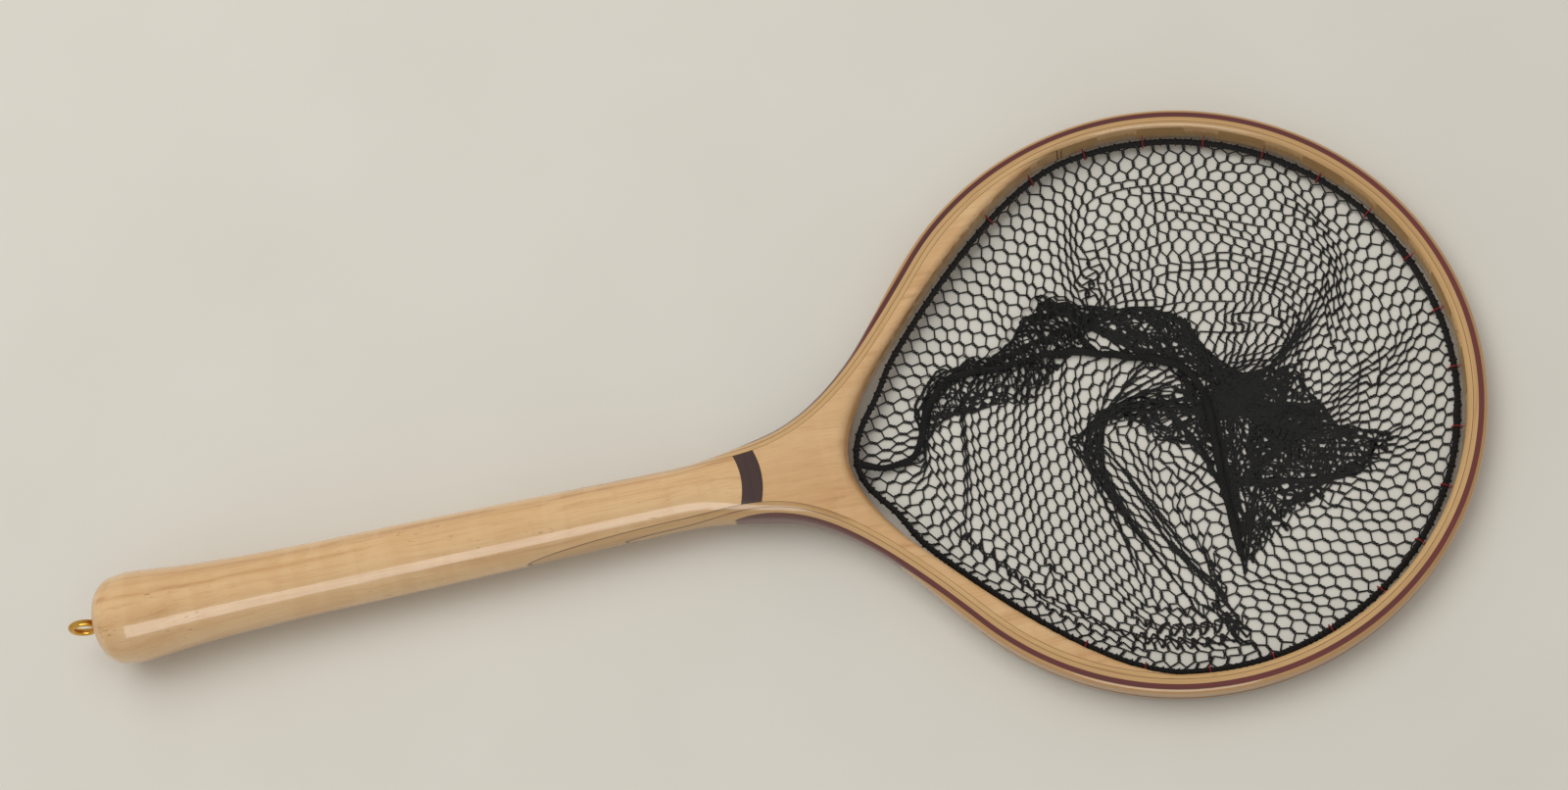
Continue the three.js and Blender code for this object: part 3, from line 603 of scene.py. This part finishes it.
def sweep(paths, radius, sides, closed=False):
    """Round tubes along paths as one mesh, with coordinates along and round the yarn."""
    turn = np.linspace(0, 1, sides, endpoint=False)
    circle = np.stack([np.cos(turn * 2 * math.pi), np.sin(turn * 2 * math.pi)], 1)
    all_verts, all_faces, all_yarn, base = [], [], [], 0
    for number, path in enumerate(paths):
        _, a, b = frames(path, closed)
        r = np.broadcast_to(radius, len(path))[:, None, None]
        rings = path[:, None] + r * (a[:, None] * circle[:, :1] + b[:, None] * circle[:, 1:])
        verts, faces = loft(rings, closed)
        along = np.repeat(walked_length(path)[:, None] / 1000, sides, 1)
        number_map = np.full(along.shape, number % 97 / 97)
        yarn = np.stack([along, np.broadcast_to(turn, along.shape), number_map], -1)
        all_yarn.append(per_ring(yarn, closed))
        all_verts.append(verts)
        all_faces.append([f + base for f in faces])
        base += len(verts)
    joined = [np.concatenate(group) for group in zip(*all_faces)]
    return np.concatenate(all_verts), joined, np.concatenate(all_yarn)


def plies(path, count, offset, pitch, closed=False, phase=0.0):
    """Paths of the yarns of a rope laid round a path."""
    _, a, b = frames(path, closed)
    d = walked_length(path)
    if closed:
        length = d[-1] + np.linalg.norm(path[0] - path[-1])
        turns = d / length * round(length / pitch)
    else:
        turns = d / pitch
    angle = [2 * math.pi * (turns + k / count) + phase for k in range(count)]
    return [path + offset * (a * np.cos(w)[:, None] + b * np.sin(w)[:, None]) for w in angle]


def yarn_piece(name, node, swept, material, slot="black_twine"):
    """A piece from what sweep gives."""
    verts, faces, yarn = swept
    piece(name, verts, faces, material, slot, replaces=[node], sharp=180, yarn=yarn)


def yarn_material(name, dark, light, pitch, strands, rough, sheen, depth):
    """Twisted filaments: helical ridges, broken up by noise, with soft sheen. The colour has painted shade
    in the grooves of the twist and a painted highlight on its crests, over random fibre tone.
    """
    dark, light = srgb(*dark), srgb(*light)
    n = Nodes(name)
    yarn = n.attribute("yarn")
    split = n.node("ShaderNodeSeparateXYZ", {0: yarn})
    along, turn, number = split.outputs[0], split.outputs[1], split.outputs[2]
    loose = n.noise(yarn, (700, 6, 40), 2, 0.5)
    lay = n.plus(n.times(along, 1000 / pitch), n.times(turn, strands))
    lay = n.plus(lay, n.plus(n.times(loose, 0.35), n.times(number, 7.0)))
    ridge = n.math("ABSOLUTE", n.math("SINE", n.times(lay, math.pi)))
    fibre = n.noise(yarn, (2500, 30, 40), 2, 0.6)
    # Painted shade in the grooves of the twist and painted highlight on its crests (ridge), mixed with
    # random fibre tone (fibre).
    tone = n.plus(n.times(ridge, 0.6), n.times(fibre, 0.5))
    return n.set(
        Base_Color=n.mix(n.ramp(tone, 0.25, 0.95), dark, light), Roughness=rough, Sheen_Weight=sheen,
        Sheen_Roughness=0.45, Sheen_Tint=light,
        Normal=n.bump(n.plus(ridge, n.times(fibre, 0.4)), 0.7, depth))


twine = yarn_material("black_twine", (5, 5, 6), (25, 24, 23), 0.9, 2, 0.62, 0.12, 0.00015)
soft_cord = yarn_material("black_soft_cord", (5, 5, 6), (25, 24, 23), 0.7, 3, 0.8, 0.3, 0.0003)
red_thread = yarn_material("red_thread", (96, 10, 16), (188, 30, 40), 0.8, 2, 0.5, 0.4, 0.00015)

polish = Nodes("polished_brass")
metal = polish.node("ShaderNodeTexCoord").outputs["Object"]
smear = polish.noise(metal, (160, 160, 160), 3, 0.5)
drawn = polish.noise(metal, (300, 2600, 2600), 2, 0.6)
brass = polish.set(
    Base_Color=polish.mix(polish.ramp(smear, 0.3, 0.7), srgb(226, 178, 88), srgb(198, 142, 56)),
    Metallic=1.0, Roughness=polish.ramp(smear, 0.3, 0.75, 0.13, 0.3),
    Normal=polish.bump(drawn, 0.12, 0.00008))

# ---- screw eye ----
# One wire: a threaded shank up the middle of the butt, bent round into an eye that nearly closes.
EYE_WIRE, EYE_RING, EYE_GAP, EYE_LEAN, EYE_SIDES = 1.8, 6.2, 0.6, math.radians(-6), 24
EYE_FROM, EYE_TO = 22, 350      # degrees round the ring, from its back
SHANK_END, THREAD_FROM, THREAD_PITCH, THREAD_CUT = 22.0, 5.0, 1.6, 0.56
POINT_LENGTH, POINT_SIZE = 4, 0.15


def build_screw_eye():
    centre = -(EYE_RING + EYE_WIRE + EYE_GAP)
    shank_x = np.arange(SHANK_END, -EYE_GAP, -THREAD_PITCH / 12)
    bend = np.radians(np.linspace(EYE_FROM, EYE_TO, 90))
    ring = np.stack([centre + EYE_RING * np.cos(bend), 0 * bend, EYE_RING * np.sin(bend)], 1)
    into_ring = arr(-math.sin(bend[0]), 0, math.cos(bend[0]))
    neck = bezier(arr(0, 0, 0), arr(-2.6, 0, 0), ring[0] - 2.4 * into_ring, ring[0], 14)
    path = np.vstack([np.stack([shank_x, 0 * shank_x, 0 * shank_x], 1), neck[1:-1], ring])
    _, across, beside = frames(path)
    turn = np.linspace(0, 2 * math.pi, EYE_SIDES, endpoint=False)
    on_shank = (np.arange(len(path)) < len(shank_x))[:, None]
    coil = (path[:, :1] / THREAD_PITCH - turn / (2 * math.pi)) % 1
    crest = np.clip(np.abs(coil - 0.5) * 2, 0.15, 0.8)
    point = smooth(path[:, :1], SHANK_END, SHANK_END - POINT_LENGTH) * (1 - POINT_SIZE) + POINT_SIZE
    threaded = smooth(path[:, :1], THREAD_FROM - 1, THREAD_FROM + 1) * on_shank
    plain = np.where(on_shank, EYE_WIRE - 0.1, EYE_WIRE)
    radius = (plain - threaded * THREAD_CUT * (0.8 - crest)) * np.where(on_shank, point, 1)
    radius[-3:] *= arr(0.97, 0.88, 0.6)[:, None]  # the wire's cut end is rounded over
    circle = across[:, None] * np.cos(turn)[:, None] + beside[:, None] * np.sin(turn)[:, None]
    verts, faces = loft(path[:, None] + radius[..., None] * circle)
    c, s = math.cos(EYE_LEAN), math.sin(EYE_LEAN)
    lean = np.array([[1, 0, 0], [0, c, -s], [0, s, c]])
    piece("screw_eye_wire", verts @ lean.T, faces, brass, "brass", body="eye", replaces=["screw_eye"])


build_screw_eye()

# ---- header cord and lacing ----
def inset(loop, distance):
    along = np.roll(loop, -1, 0) - np.roll(loop, 1, 0)
    along /= np.linalg.norm(along, axis=1)[:, None]
    return loop + np.stack([along[:, 1], -along[:, 0]], 1) * np.broadcast_to(distance, len(loop))[:, None]


def corner_cut(distance, at, deepest, width=17):
    """How far the cord stands off the wood where it cuts a corner by the throat."""
    return deepest * np.exp(-((distance - at) / width) ** 2)


# The cord is only laced round the hoop, so it cuts the corners on both sides of the throat.
even_edge = walk(np.vstack([opening_edge, opening_edge[:1]]), 1.0)[0][:-1]
from_throat = np.arange(len(even_edge)) * 1.0
slack = corner_cut(from_throat, 38, 2.5) + corner_cut(len(even_edge) - from_throat, 34, 3.6)
sway = 0.25 * np.sin(from_throat / 9.1) + 0.2 * np.sin(from_throat / 4.3 + 1)
cord_path = np.column_stack([inset(even_edge, CORD_INSET + slack), CORD_Z + sway * smooth(slack, 0, 0.4)])
CORD_PLIES, CORD_LAY = 3, 7.5
cord_plies = plies(cord_path, CORD_PLIES, CORD_R * 0.5, CORD_LAY, closed=True)
yarn_piece("header_cord_laid", "header_cord", sweep(cord_plies, CORD_R * 0.54, 8, closed=True), soft_cord)

HOLES, HOLE_PITCH = 20, math.radians(12.727)
THREAD_LAY, RUN_PAST = 1.6, 0.004


def radial(angle, r, z):
    x, y = HOOP_X + r * math.cos(angle), r * math.sin(angle)
    return np.stack([x, y, np.broadcast_to(z, np.shape(r))], -1)


def build_lacing():
    """One thread in the groove, and at each hole a stitch in through the hoop and round the cord."""
    angles = (np.arange(HOLES) - (HOLES - 1) / 2) * HOLE_PITCH
    run_radius = HOOP_R + THICK - GROOVE_D / 2
    cord_angle = np.arctan2(cord_path[:, 1], cord_path[:, 0] - HOOP_X)
    cord_reach = np.hypot(cord_path[:, 1], cord_path[:, 0] - HOOP_X)
    order = np.argsort(cord_angle)
    end_angle = angles[-1] + RUN_PAST
    run_turn = np.linspace(-end_angle, end_angle, 900)
    threads = [np.column_stack([on_arc(run_turn, run_radius), np.full(len(run_turn), HOLE_Z)])]
    wrap = np.radians(np.linspace(90, 380, 26))
    for angle in angles:
        reach = np.interp(angle, cord_angle[order], cord_reach[order])
        wound = radial(angle, reach + STITCH_R * np.cos(wrap), CORD_Z + STITCH_R * np.sin(wrap))
        through = radial(angle, np.linspace(run_radius, reach + 0.4, 16), HOLE_Z)
        threads.append(np.vstack([through, wound]))
    pairs = [ply for path in threads for ply in plies(path, 2, THREAD_R * 0.36, THREAD_LAY)]
    swept = sweep(pairs, THREAD_R * 0.42, 6)
    yarn_piece("lacing_thread_laid", "lacing_thread", swept, red_thread, "red_thread")


build_lacing()

# ---- bag: the knotless mesh as a lattice ----
# Worked in millimetres of the row frame, where the floor is z = 0. Joints lie in rows below the header
# cord, half a cell over at each row. The bag narrows on both sides of its seam, which starts at the throat.
CELL, ROW_DROP, ROWS = 7.6, 6.6, 54
STRAIGHT_ROWS, TAPER = 16, 1.05  # rows before it narrows, then cells lost on each side of the seam per row
FREE_ROWS = 10                   # rows over which the mesh takes leave of the rim's shape
STRAND_R, JOINT_HALF, JOINT_SPREAD = 0.4, 1.9, 0.55
START_LOW, START_LIFT, START_LEAN = 2, 40, 6  # heights before it falls: least, middle rows, lean
BUMPS, BUMP_WAVE, SEED = 14, 0.06, 5

# How the bag lies, as plan paths from eight even places on the rim, the throat first and on round the
# far side. Millimetres from the hoop's centre, X away from the handle. Where a path doubles back, the
# mesh folds.
FOLDS = [
    [(-118, -4), (-122, 22), (-104, 42), (-85, 36), (-45, 45), (20, 12), (14, -40), (14, -92)],
    [(-78, 52), (-55, 10), (-62, 78), (32, 30), (38, -72)],
    [(-5, 18), (12, 46), (40, -10), (58, -62)],
    [(55, 14), (22, -12), (60, 0), (84, -52)],
    [(75, -22), (22, 2), (60, -18), (30, -30), (102, -38)],
    [(55, -62), (18, -8), (70, -20), (25, -50), (84, -55)],
    [(-30, -62), (-35, -8), (10, 8), (20, -50), (58, -62)],
    [(-80, -2), (-58, 34), (-90, -8), (18, 4), (20, -50), (38, -74)],
]


def from_row(points_mm):
    """Row-frame millimetres to millimetres in the net's own frame."""
    q = np.asarray(points_mm, float) - ORIGIN * 1000
    return np.stack([q @ X_AXIS, q[..., 1], q @ Z_AXIS], -1)


def along_loop(loop, fraction):
    closed = np.vstack([loop, loop[:1]])
    d = walked_length(closed)
    at = np.mod(fraction, 1) * d[-1]
    return np.stack([np.interp(at, d, closed[:, k]) for k in range(closed.shape[1])], 1)


def along_path(path, fraction):
    d = walked_length(path)
    return np.array([np.interp(fraction * d[-1], d, path[:, k]) for k in range(path.shape[1])])


rim = to_row(cord_path) * 1000
columns = int(round(walked_length(np.vstack([rim, rim[:1]]))[-1] / CELL))
cut = [int(round(TAPER * max(0, j - STRAIGHT_ROWS))) for j in range(ROWS)]
index = -np.ones((ROWS, columns), int)
fold_paths = []
for k, fold in enumerate(FOLDS):
    plan = to_row([(HOOP_X + x, y, 0) for x, y in fold])[:, :2] * 1000
    fold_paths.append(np.vstack([along_loop(rim, np.array([k / len(FOLDS)]))[0, :2], plan]))
rim_knots = np.array([path[0] for path in fold_paths])

joints, cloth = [], []  # each joint's place, and its place on the flat mesh
for j in range(ROWS):
    cols = np.arange(cut[j], columns - cut[j])
    index[j, cols] = len(joints) + np.arange(len(cols))
    over = cols + 0.5 * (j % 2)
    spread = min(j / FREE_ROWS, 1)
    u = over / columns * (1 - spread) + (cols - cut[j] + 0.5) / len(cols) * spread
    base = along_loop(rim, u)
    depth = j / (ROWS - 1)
    knots = np.array([along_path(path, depth) for path in fold_paths])
    from_rim = (base[:, :2] - closed_curve(rim_knots, u)) * (1 - float(smooth(j, 0, FREE_ROWS)))
    lift = START_LOW + START_LIFT * float(smooth(j, 3, ROWS - 4))
    lift = lift + START_LEAN * np.cos(2 * math.pi * (u - 0.25)) * float(smooth(depth, 0.5, 1))
    joints.extend(base if j == 0 else np.column_stack([closed_curve(knots, u) + from_rim, lift]))
    cloth.extend(np.column_stack([over * CELL, np.full(len(cols), j * ROW_DROP)]))
joints, cloth = np.array(joints), np.array(cloth)
free = cloth[:, 1] > 0

# Small waves, so that the mesh doesn't fall evenly.
random = np.random.default_rng(SEED)
for _ in range(BUMPS):
    size = random.normal(0, 1, 3) * (1, 1, 1.5)
    wave = np.sin(cloth @ random.normal(0, BUMP_WAVE, 2) + random.uniform(0, 6))
    joints += np.where(free[:, None], size * wave[:, None], 0)
joints[:, 2] = np.maximum(joints[:, 2], 1)


def joint_at(j, c):
    """The joint in row j and column c, or -1. Rows above the taper run on round the bag."""
    if not 0 <= j < ROWS:
        return -1
    if cut[j] == 0:
        return index[j, c % columns]
    return index[j, c] if 0 <= c < columns else -1


def below(j, c):
    """Columns of the two neighbours in the next or the previous row."""
    return (c, c + 1) if j % 2 else (c - 1, c)


# A link is two joints, the most they can be apart, and how firmly. Slack links do nothing.
TAUT, DOWN_FIRM, ACROSS_FIRM = 1.0, 0.05, 0.35
SEAM_GAP, BOTTOM_GAP = 2.5, 2.0
links = {}


def link(key, a, b, most, firm):
    if a >= 0 and b >= 0 and a != b:
        links.setdefault(str(key), []).append((a, b, most, firm))


for j in range(ROWS):
    for c in range(columns):
        here = index[j, c]
        if here < 0:
            continue
        for number, col in enumerate(below(j, c)):
            link(("strand", j % 2, number), here, joint_at(j + 1, col), CELL, TAUT)
        link(("down", j // 2 % 2), here, joint_at(j + 2, c), 2 * ROW_DROP, DOWN_FIRM)
        link(("across", c % 2 if c < columns - 1 else 2), here, joint_at(j, c + 1), CELL, ACROSS_FIRM)
    if cut[j]:
        link(("seam", j % 2), index[j, cut[j]], index[j, columns - 1 - cut[j]], SEAM_GAP, TAUT)
for c in range(cut[-1], cut[-1] + (columns - 2 * cut[-1]) // 2):
    link("bottom", index[-1, c], index[-1, columns - 1 - c], BOTTOM_GAP, TAUT)


def link_groups():
    """Sets of links that share no joint, so that each set is moved at once."""
    groups = []
    for key in sorted(links):
        rows = np.array(links[key])
        ends, left = rows[:, :2].astype(int), np.arange(len(rows))
        while len(left):
            pick = left[np.unique(ends[left, 0], return_index=True)[1]]
            pick = pick[np.unique(ends[pick, 1], return_index=True)[1]]
            clear = pick[~np.isin(ends[pick, 0], ends[pick, 1])]
            pick = clear if len(clear) else pick[:1]
            groups.append((ends[pick, 0], ends[pick, 1], rows[pick, 2], rows[pick, 3]))
            left = np.setdiff1d(left, pick)
    return groups


# ---- bag: letting it fall ----
# Each step moves the joints on, draws the held ones to their places, tightens the links, and keeps
# every joint above what lies under it and inside the hoop.
QUICK_STEPS, SETTLE_STEPS, HOLD_STEPS, SWEEPS = 40, 230, 215, 4
FALL, KEEP, TOP_SPEED, FRICTION = 0.35, 0.93, 3.0, 0.6     # millimetres a step, and parts of a move
HOLD, FIRM_HOLD = 0.1, 0.4
BUNCHED_ROWS, BUNCHED_COLUMNS, BUNCHED_STEP = 26, 5, 1.2     # the gathers along the seam
GATHERED_ROWS, GATHERED_FROM, GATHERED_TO = (3, 6, 9, 12), 0.74, 0.94     # the gathers by the wall
YARN, TOUCHING, WALL_GAP = 0.7, 0.4, 3.5
NEAR, OTHER_LAYER, STACK_EVERY, STACK_AFTER = 4.2, 2.6 * CELL, 6, 0.15
LAYER, LAYERS_PER_JOINT, MOST_LAYERS, STACK_EASE = 1.1, 0.45, 12, 0.4

hoop_centre = to_row([HOOP_X, 0, 0])[:2] * 1000


def holds():
    """Joints that are held while the bag settles, the places they are drawn to, and how firmly."""
    held = []
    for j in range(STRAIGHT_ROWS, ROWS):
        place_of_seam = along_path(fold_paths[0], j / (ROWS - 1))
        for k in range(BUNCHED_COLUMNS if j < BUNCHED_ROWS else 1):
            lean = BUNCHED_STEP * k * arr(1, 1)
            held.append((index[j, cut[j] + k], place_of_seam + lean, FIRM_HOLD))
            held.append((index[j, columns - 1 - cut[j] - k], place_of_seam - lean, FIRM_HOLD))
    held.append((index[-1, columns // 2], along_path(fold_paths[4], 1), HOLD))
    for j in range(8, ROWS, 5):
        for k in range(1, len(FOLDS)):
            col = cut[j] + int(k / len(FOLDS) * (columns - 2 * cut[j]))
            held.append((index[j, col], along_path(fold_paths[k], j / (ROWS - 1)), HOLD))
    # The mesh is gathered against the near side of the hoop, from the throat to its middle.
    for col in range(int(GATHERED_FROM * columns), int(GATHERED_TO * columns)):
        edge = along_loop(rim, np.array([col / columns]))[0, :2]
        inward = (hoop_centre - edge) / np.linalg.norm(hoop_centre - edge)
        for j in GATHERED_ROWS:
            held.append((index[j, col], edge + inward * (2 + 2 * j), FIRM_HOLD))
    joint, target, firmness = zip(*held)
    return np.array(joint), np.array(target), np.array(firmness)[:, None]


def wall_reach():
    """How far out a joint can lie, as angles round the hoop's centre and distances from it."""
    edge = np.column_stack([inset(even_edge, WALL_GAP), np.zeros(len(even_edge))])
    wall = to_row(edge)[:, :2] * 1000 - hoop_centre
    angle = np.arctan2(wall[:, 1], wall[:, 0])
    order = np.argsort(angle)
    return angle[order], np.hypot(*wall.T)[order]


def tighten(joints, groups, weight):
    for a, b, most, firm in groups:
        gap = joints[b] - joints[a]
        length = np.linalg.norm(gap, axis=1) + 1e-9
        pull = np.maximum(length - most, 0) * firm / length
        gap *= (pull / np.maximum(weight[a] + weight[b], 1e-9))[:, None]
        joints[a] += gap * weight[a][:, None]
        joints[b] -= gap * weight[b][:, None]


def settle(joints):
    groups = link_groups()
    held, held_at, grasp = holds()
    wall_angle, reach = wall_reach()
    other_layer = np.abs(cloth[:, None] - cloth[None]).max(-1) > OTHER_LAYER
    weight = free.astype(float)
    floor_at = np.full(len(joints), YARN)
    before = joints.copy()
    for step in range(SETTLE_STEPS):
        move = (joints - before) * KEEP
        move[joints[:, 2] < floor_at + TOUCHING, :2] *= FRICTION
        move *= np.minimum(1, TOP_SPEED / np.maximum(np.linalg.norm(move, axis=1), 1e-9))[:, None]
        before = joints.copy()
        joints = joints + move * weight[:, None]
        joints[free, 2] -= FALL
        if step <= HOLD_STEPS:
            joints[held, :2] += (held_at - joints[held, :2]) * grasp
        for _ in range(SWEEPS):
            tighten(joints, groups, weight)
            joints[:, 2] = np.where(free, np.maximum(joints[:, 2], floor_at), joints[:, 2])
        out = joints[:, :2] - hoop_centre
        distance = np.maximum(np.hypot(*out.T), 1e-9)
        limit = np.interp(np.arctan2(out[:, 1], out[:, 0]), wall_angle, reach, period=2 * math.pi)
        pulled = np.where(free & (distance > limit), limit / distance, 1)
        joints[:, :2] = hoop_centre + out * pulled[:, None]
        if step % STACK_EVERY == 0 and step > SETTLE_STEPS * STACK_AFTER:
            # Mesh lies on mesh: each joint's floor rises with the number of other layers under it.
            close = ((joints[:, None, :2] - joints[None, :, :2]) ** 2).sum(-1) < NEAR ** 2
            under = (close & (joints[None, :, 2] < joints[:, None, 2]) & other_layer).sum(1)
            stacked = YARN + LAYER * np.minimum(under * LAYERS_PER_JOINT, MOST_LAYERS)
            floor_at = floor_at * (1 - STACK_EASE) + stacked * STACK_EASE
    return joints


joints = settle(joints)

# ---- bag: strands, loops on the cord, and seam ----
NET_PIECES, NET_SIDES = 3, 5
LOOP_POINTS, LOOP_R = 12, STRAND_R * 1.1
# At a joint two strands run side by side round a small eye, then part again.
THROUGH = np.linspace(-1, 1, 5)[:, None] * JOINT_HALF
APART = arr(0.45, 1, 0.35, 1, 0.45)[:, None] * JOINT_SPREAD
SEAM_PLIES, SEAM_PLY_R, SEAM_R, SEAM_LAY = 4, 0.8, 1.05, 9.0
SEAM_LIFT, SEAM_LOWEST = 1.2, 2.6


def joint_directions():
    """Unit vectors across the mesh and down it at each joint."""
    across, down = np.zeros_like(joints), np.zeros_like(joints)
    for j in range(ROWS):
        for c in np.flatnonzero(index[j] >= 0):
            here = index[j, c]
            for row, sign in ((j - 1, -1), (j + 1, 1)):
                pair = [joint_at(row, col) for col in below(j, c)]
                near = [joint for joint in pair if joint >= 0]
                if len(near) == 2:
                    across[here] += joints[pair[1]] - joints[pair[0]]
                if near:
                    down[here] += sign * (joints[near].mean(0) - joints[here])
    return [v / np.maximum(np.linalg.norm(v, axis=1), 1e-9)[:, None] for v in (across, down)]


def strand_paths():
    """Each strand zigzags down the bag, and breaks off where the taper cuts it."""
    across, down = joint_directions()
    strands = []
    for half_column in range(2 * columns):
        run = []
        for j in range(ROWS):
            on_right = half_column % 2 == j % 2
            here = joint_at(j, (half_column + (0 if on_right else 1) - j % 2) // 2)
            if here >= 0:
                knot = joints[here] + down[here] * THROUGH + across[here] * APART * (1 if on_right else -1)
                knot[:, 2] = np.maximum(knot[:, 2], STRAND_R)
                run.append(knot)
                continue
            if len(run) > 1:
                strands.append(np.concatenate(run))
            run = []
        if len(run) > 1:
            strands.append(np.concatenate(run))
    return strands


def build_net():
    strands = strand_paths()
    for part, group in enumerate(np.array_split(np.arange(len(strands)), NET_PIECES), 1):
        swept = sweep([from_row(strands[i]) for i in group], STRAND_R, NET_SIDES)
        yarn_piece(f"net_mesh_{part}", "net_bag", swept, twine)


def build_header_loops():
    """A loop of twine round the cord for each column of the mesh."""
    turn = np.linspace(0, 2 * math.pi, LOOP_POINTS, endpoint=False)
    turn = np.r_[turn, turn[0]][:, None]
    centres = from_row(along_loop(rim, np.arange(columns) / columns))
    along = np.roll(centres, -1, 0) - np.roll(centres, 1, 0)
    level = np.cross(along / np.linalg.norm(along, axis=1)[:, None], arr(0, 0, 1))
    loops = [centre + (CORD_R + 0.2) * (np.cos(turn) * out + np.sin(turn) * arr(0, 0, 1))
             for centre, out in zip(centres, level)]
    swept = sweep(loops, LOOP_R, NET_SIDES)
    swept[2][:, 2] = 0  # every loop's twist starts alike
    yarn_piece("header_loops", "net_bag", swept, twine)


def build_seam():
    """The seam is whipped over with a thick yarn, which gathers the mesh into a rope."""
    rows = [along_loop(rim, np.zeros(1))[0]]
    for j in range(2, ROWS, 2):
        edges = joints[[index[j, cut[j]], index[j, columns - 1 - cut[j]]]]
        rows.append(edges.mean(0) + arr(0, 0, SEAM_LIFT))
    rows = np.array(rows)
    for _ in range(2):
        rows[1:-1] = (rows[:-2] + 2 * rows[1:-1] + rows[2:]) / 4
    rows[:, 2] = np.maximum(rows[:, 2], SEAM_LOWEST)
    path, along = walk(spline(from_row(rows), 8), 0.9)
    path[:, 1] += 0.35 * np.sin(along / 2.7)
    swell = 1 + 0.18 * np.sin(along / 3.1) + 0.12 * np.sin(along / 7.7 + 2)
    ropes = plies(path, SEAM_PLIES, SEAM_R, SEAM_LAY)
    yarn_piece("bag_seam_whipped", "bag_seam", sweep(ropes, SEAM_PLY_R * swell, 7), soft_cord)


build_net()
build_header_loops()
build_seam()

# ---- floor, light and camera ----
paper = Nodes("paper")
spot = paper.node("ShaderNodeTexCoord").outputs["Object"]
mottle = paper.noise(spot, (9, 9, 9), 3, 0.5)
tooth = paper.noise(spot, (900, 900, 900), 2, 0.6)
paper.set(Base_Color=paper.mix(mottle, srgb(226, 223, 214), srgb(218, 214, 204)), Roughness=0.75,
          Normal=paper.bump(tooth, 0.05, 0.0003))
FLOOR = 30.0
floor = bpy.data.meshes.new("floor")
floor.from_pydata([(-FLOOR, -FLOOR, 0), (FLOOR, -FLOOR, 0), (FLOOR, FLOOR, 0), (-FLOOR, FLOOR, 0)], [],
                  [(0, 1, 2, 3)])
floor.materials.append(paper.material)
floor = bpy.data.objects.new("floor", floor)
bpy.context.scene.collection.objects.link(floor)


def area_light(name, at, aim, size, power, colour):
    lamp = bpy.data.lights.new(name, "AREA")
    lamp.shape = "RECTANGLE"
    lamp.size, lamp.size_y = size
    lamp.energy = power
    lamp.color = colour
    obj = bpy.data.objects.new(name, lamp)
    obj.location = at
    obj.rotation_euler = (Vector(aim) - Vector(at)).to_track_quat("-Z", "Y").to_euler()
    bpy.context.scene.collection.objects.link(obj)
    return obj


# A broad ceiling light that leaves no reflection, and a window low on the near side that does.
ceiling = area_light("ceiling", (-0.6, 0.8, 2.1), (0.05, 0, 0), (2.0, 1.9), 26, (1.0, 0.99, 0.97))
ceiling.visible_glossy = False
window = area_light("window", (-0.2, -1.9, 1.6), (0.0, 0, 0), (1.6, 1.3), 20, (1.0, 1.0, 0.99))
window.visible_diffuse = False

world = bpy.data.worlds.new("soft_room")
bpy.context.scene.world = world
world.use_nodes = True
world.node_tree.nodes["Background"].inputs["Color"].default_value = (1.0, 0.985, 0.955, 1)
world.node_tree.nodes["Background"].inputs["Strength"].default_value = 0.52
bpy.context.scene.view_settings.view_transform = "Standard"

# The camera looks steeply down from the near side, turned about its own axis so that the handle
# runs downhill to the left.
CAMERA_AT, CAMERA_AIM, CAMERA_ROLL = (0.129, -0.3435, 1.1108), (0.0197, 0.0473, 0.0), math.radians(-27.4)
LENS, SENSOR = 54.0, 36.0
camera = bpy.data.cameras.new("camera")
camera.lens, camera.sensor_width = LENS, SENSOR
camera.clip_start = 0.05
camera = bpy.data.objects.new("camera", camera)
look = (Vector(CAMERA_AIM) - Vector(CAMERA_AT)).to_track_quat("-Z", "Y").to_matrix()
roll = Matrix.Rotation(CAMERA_ROLL, 3, "Z")
camera.matrix_world = Matrix.Translation(CAMERA_AT) @ (look @ roll).to_4x4()
bpy.context.scene.collection.objects.link(camera)
bpy.context.scene.camera = camera

bpy.context.view_layer.update()
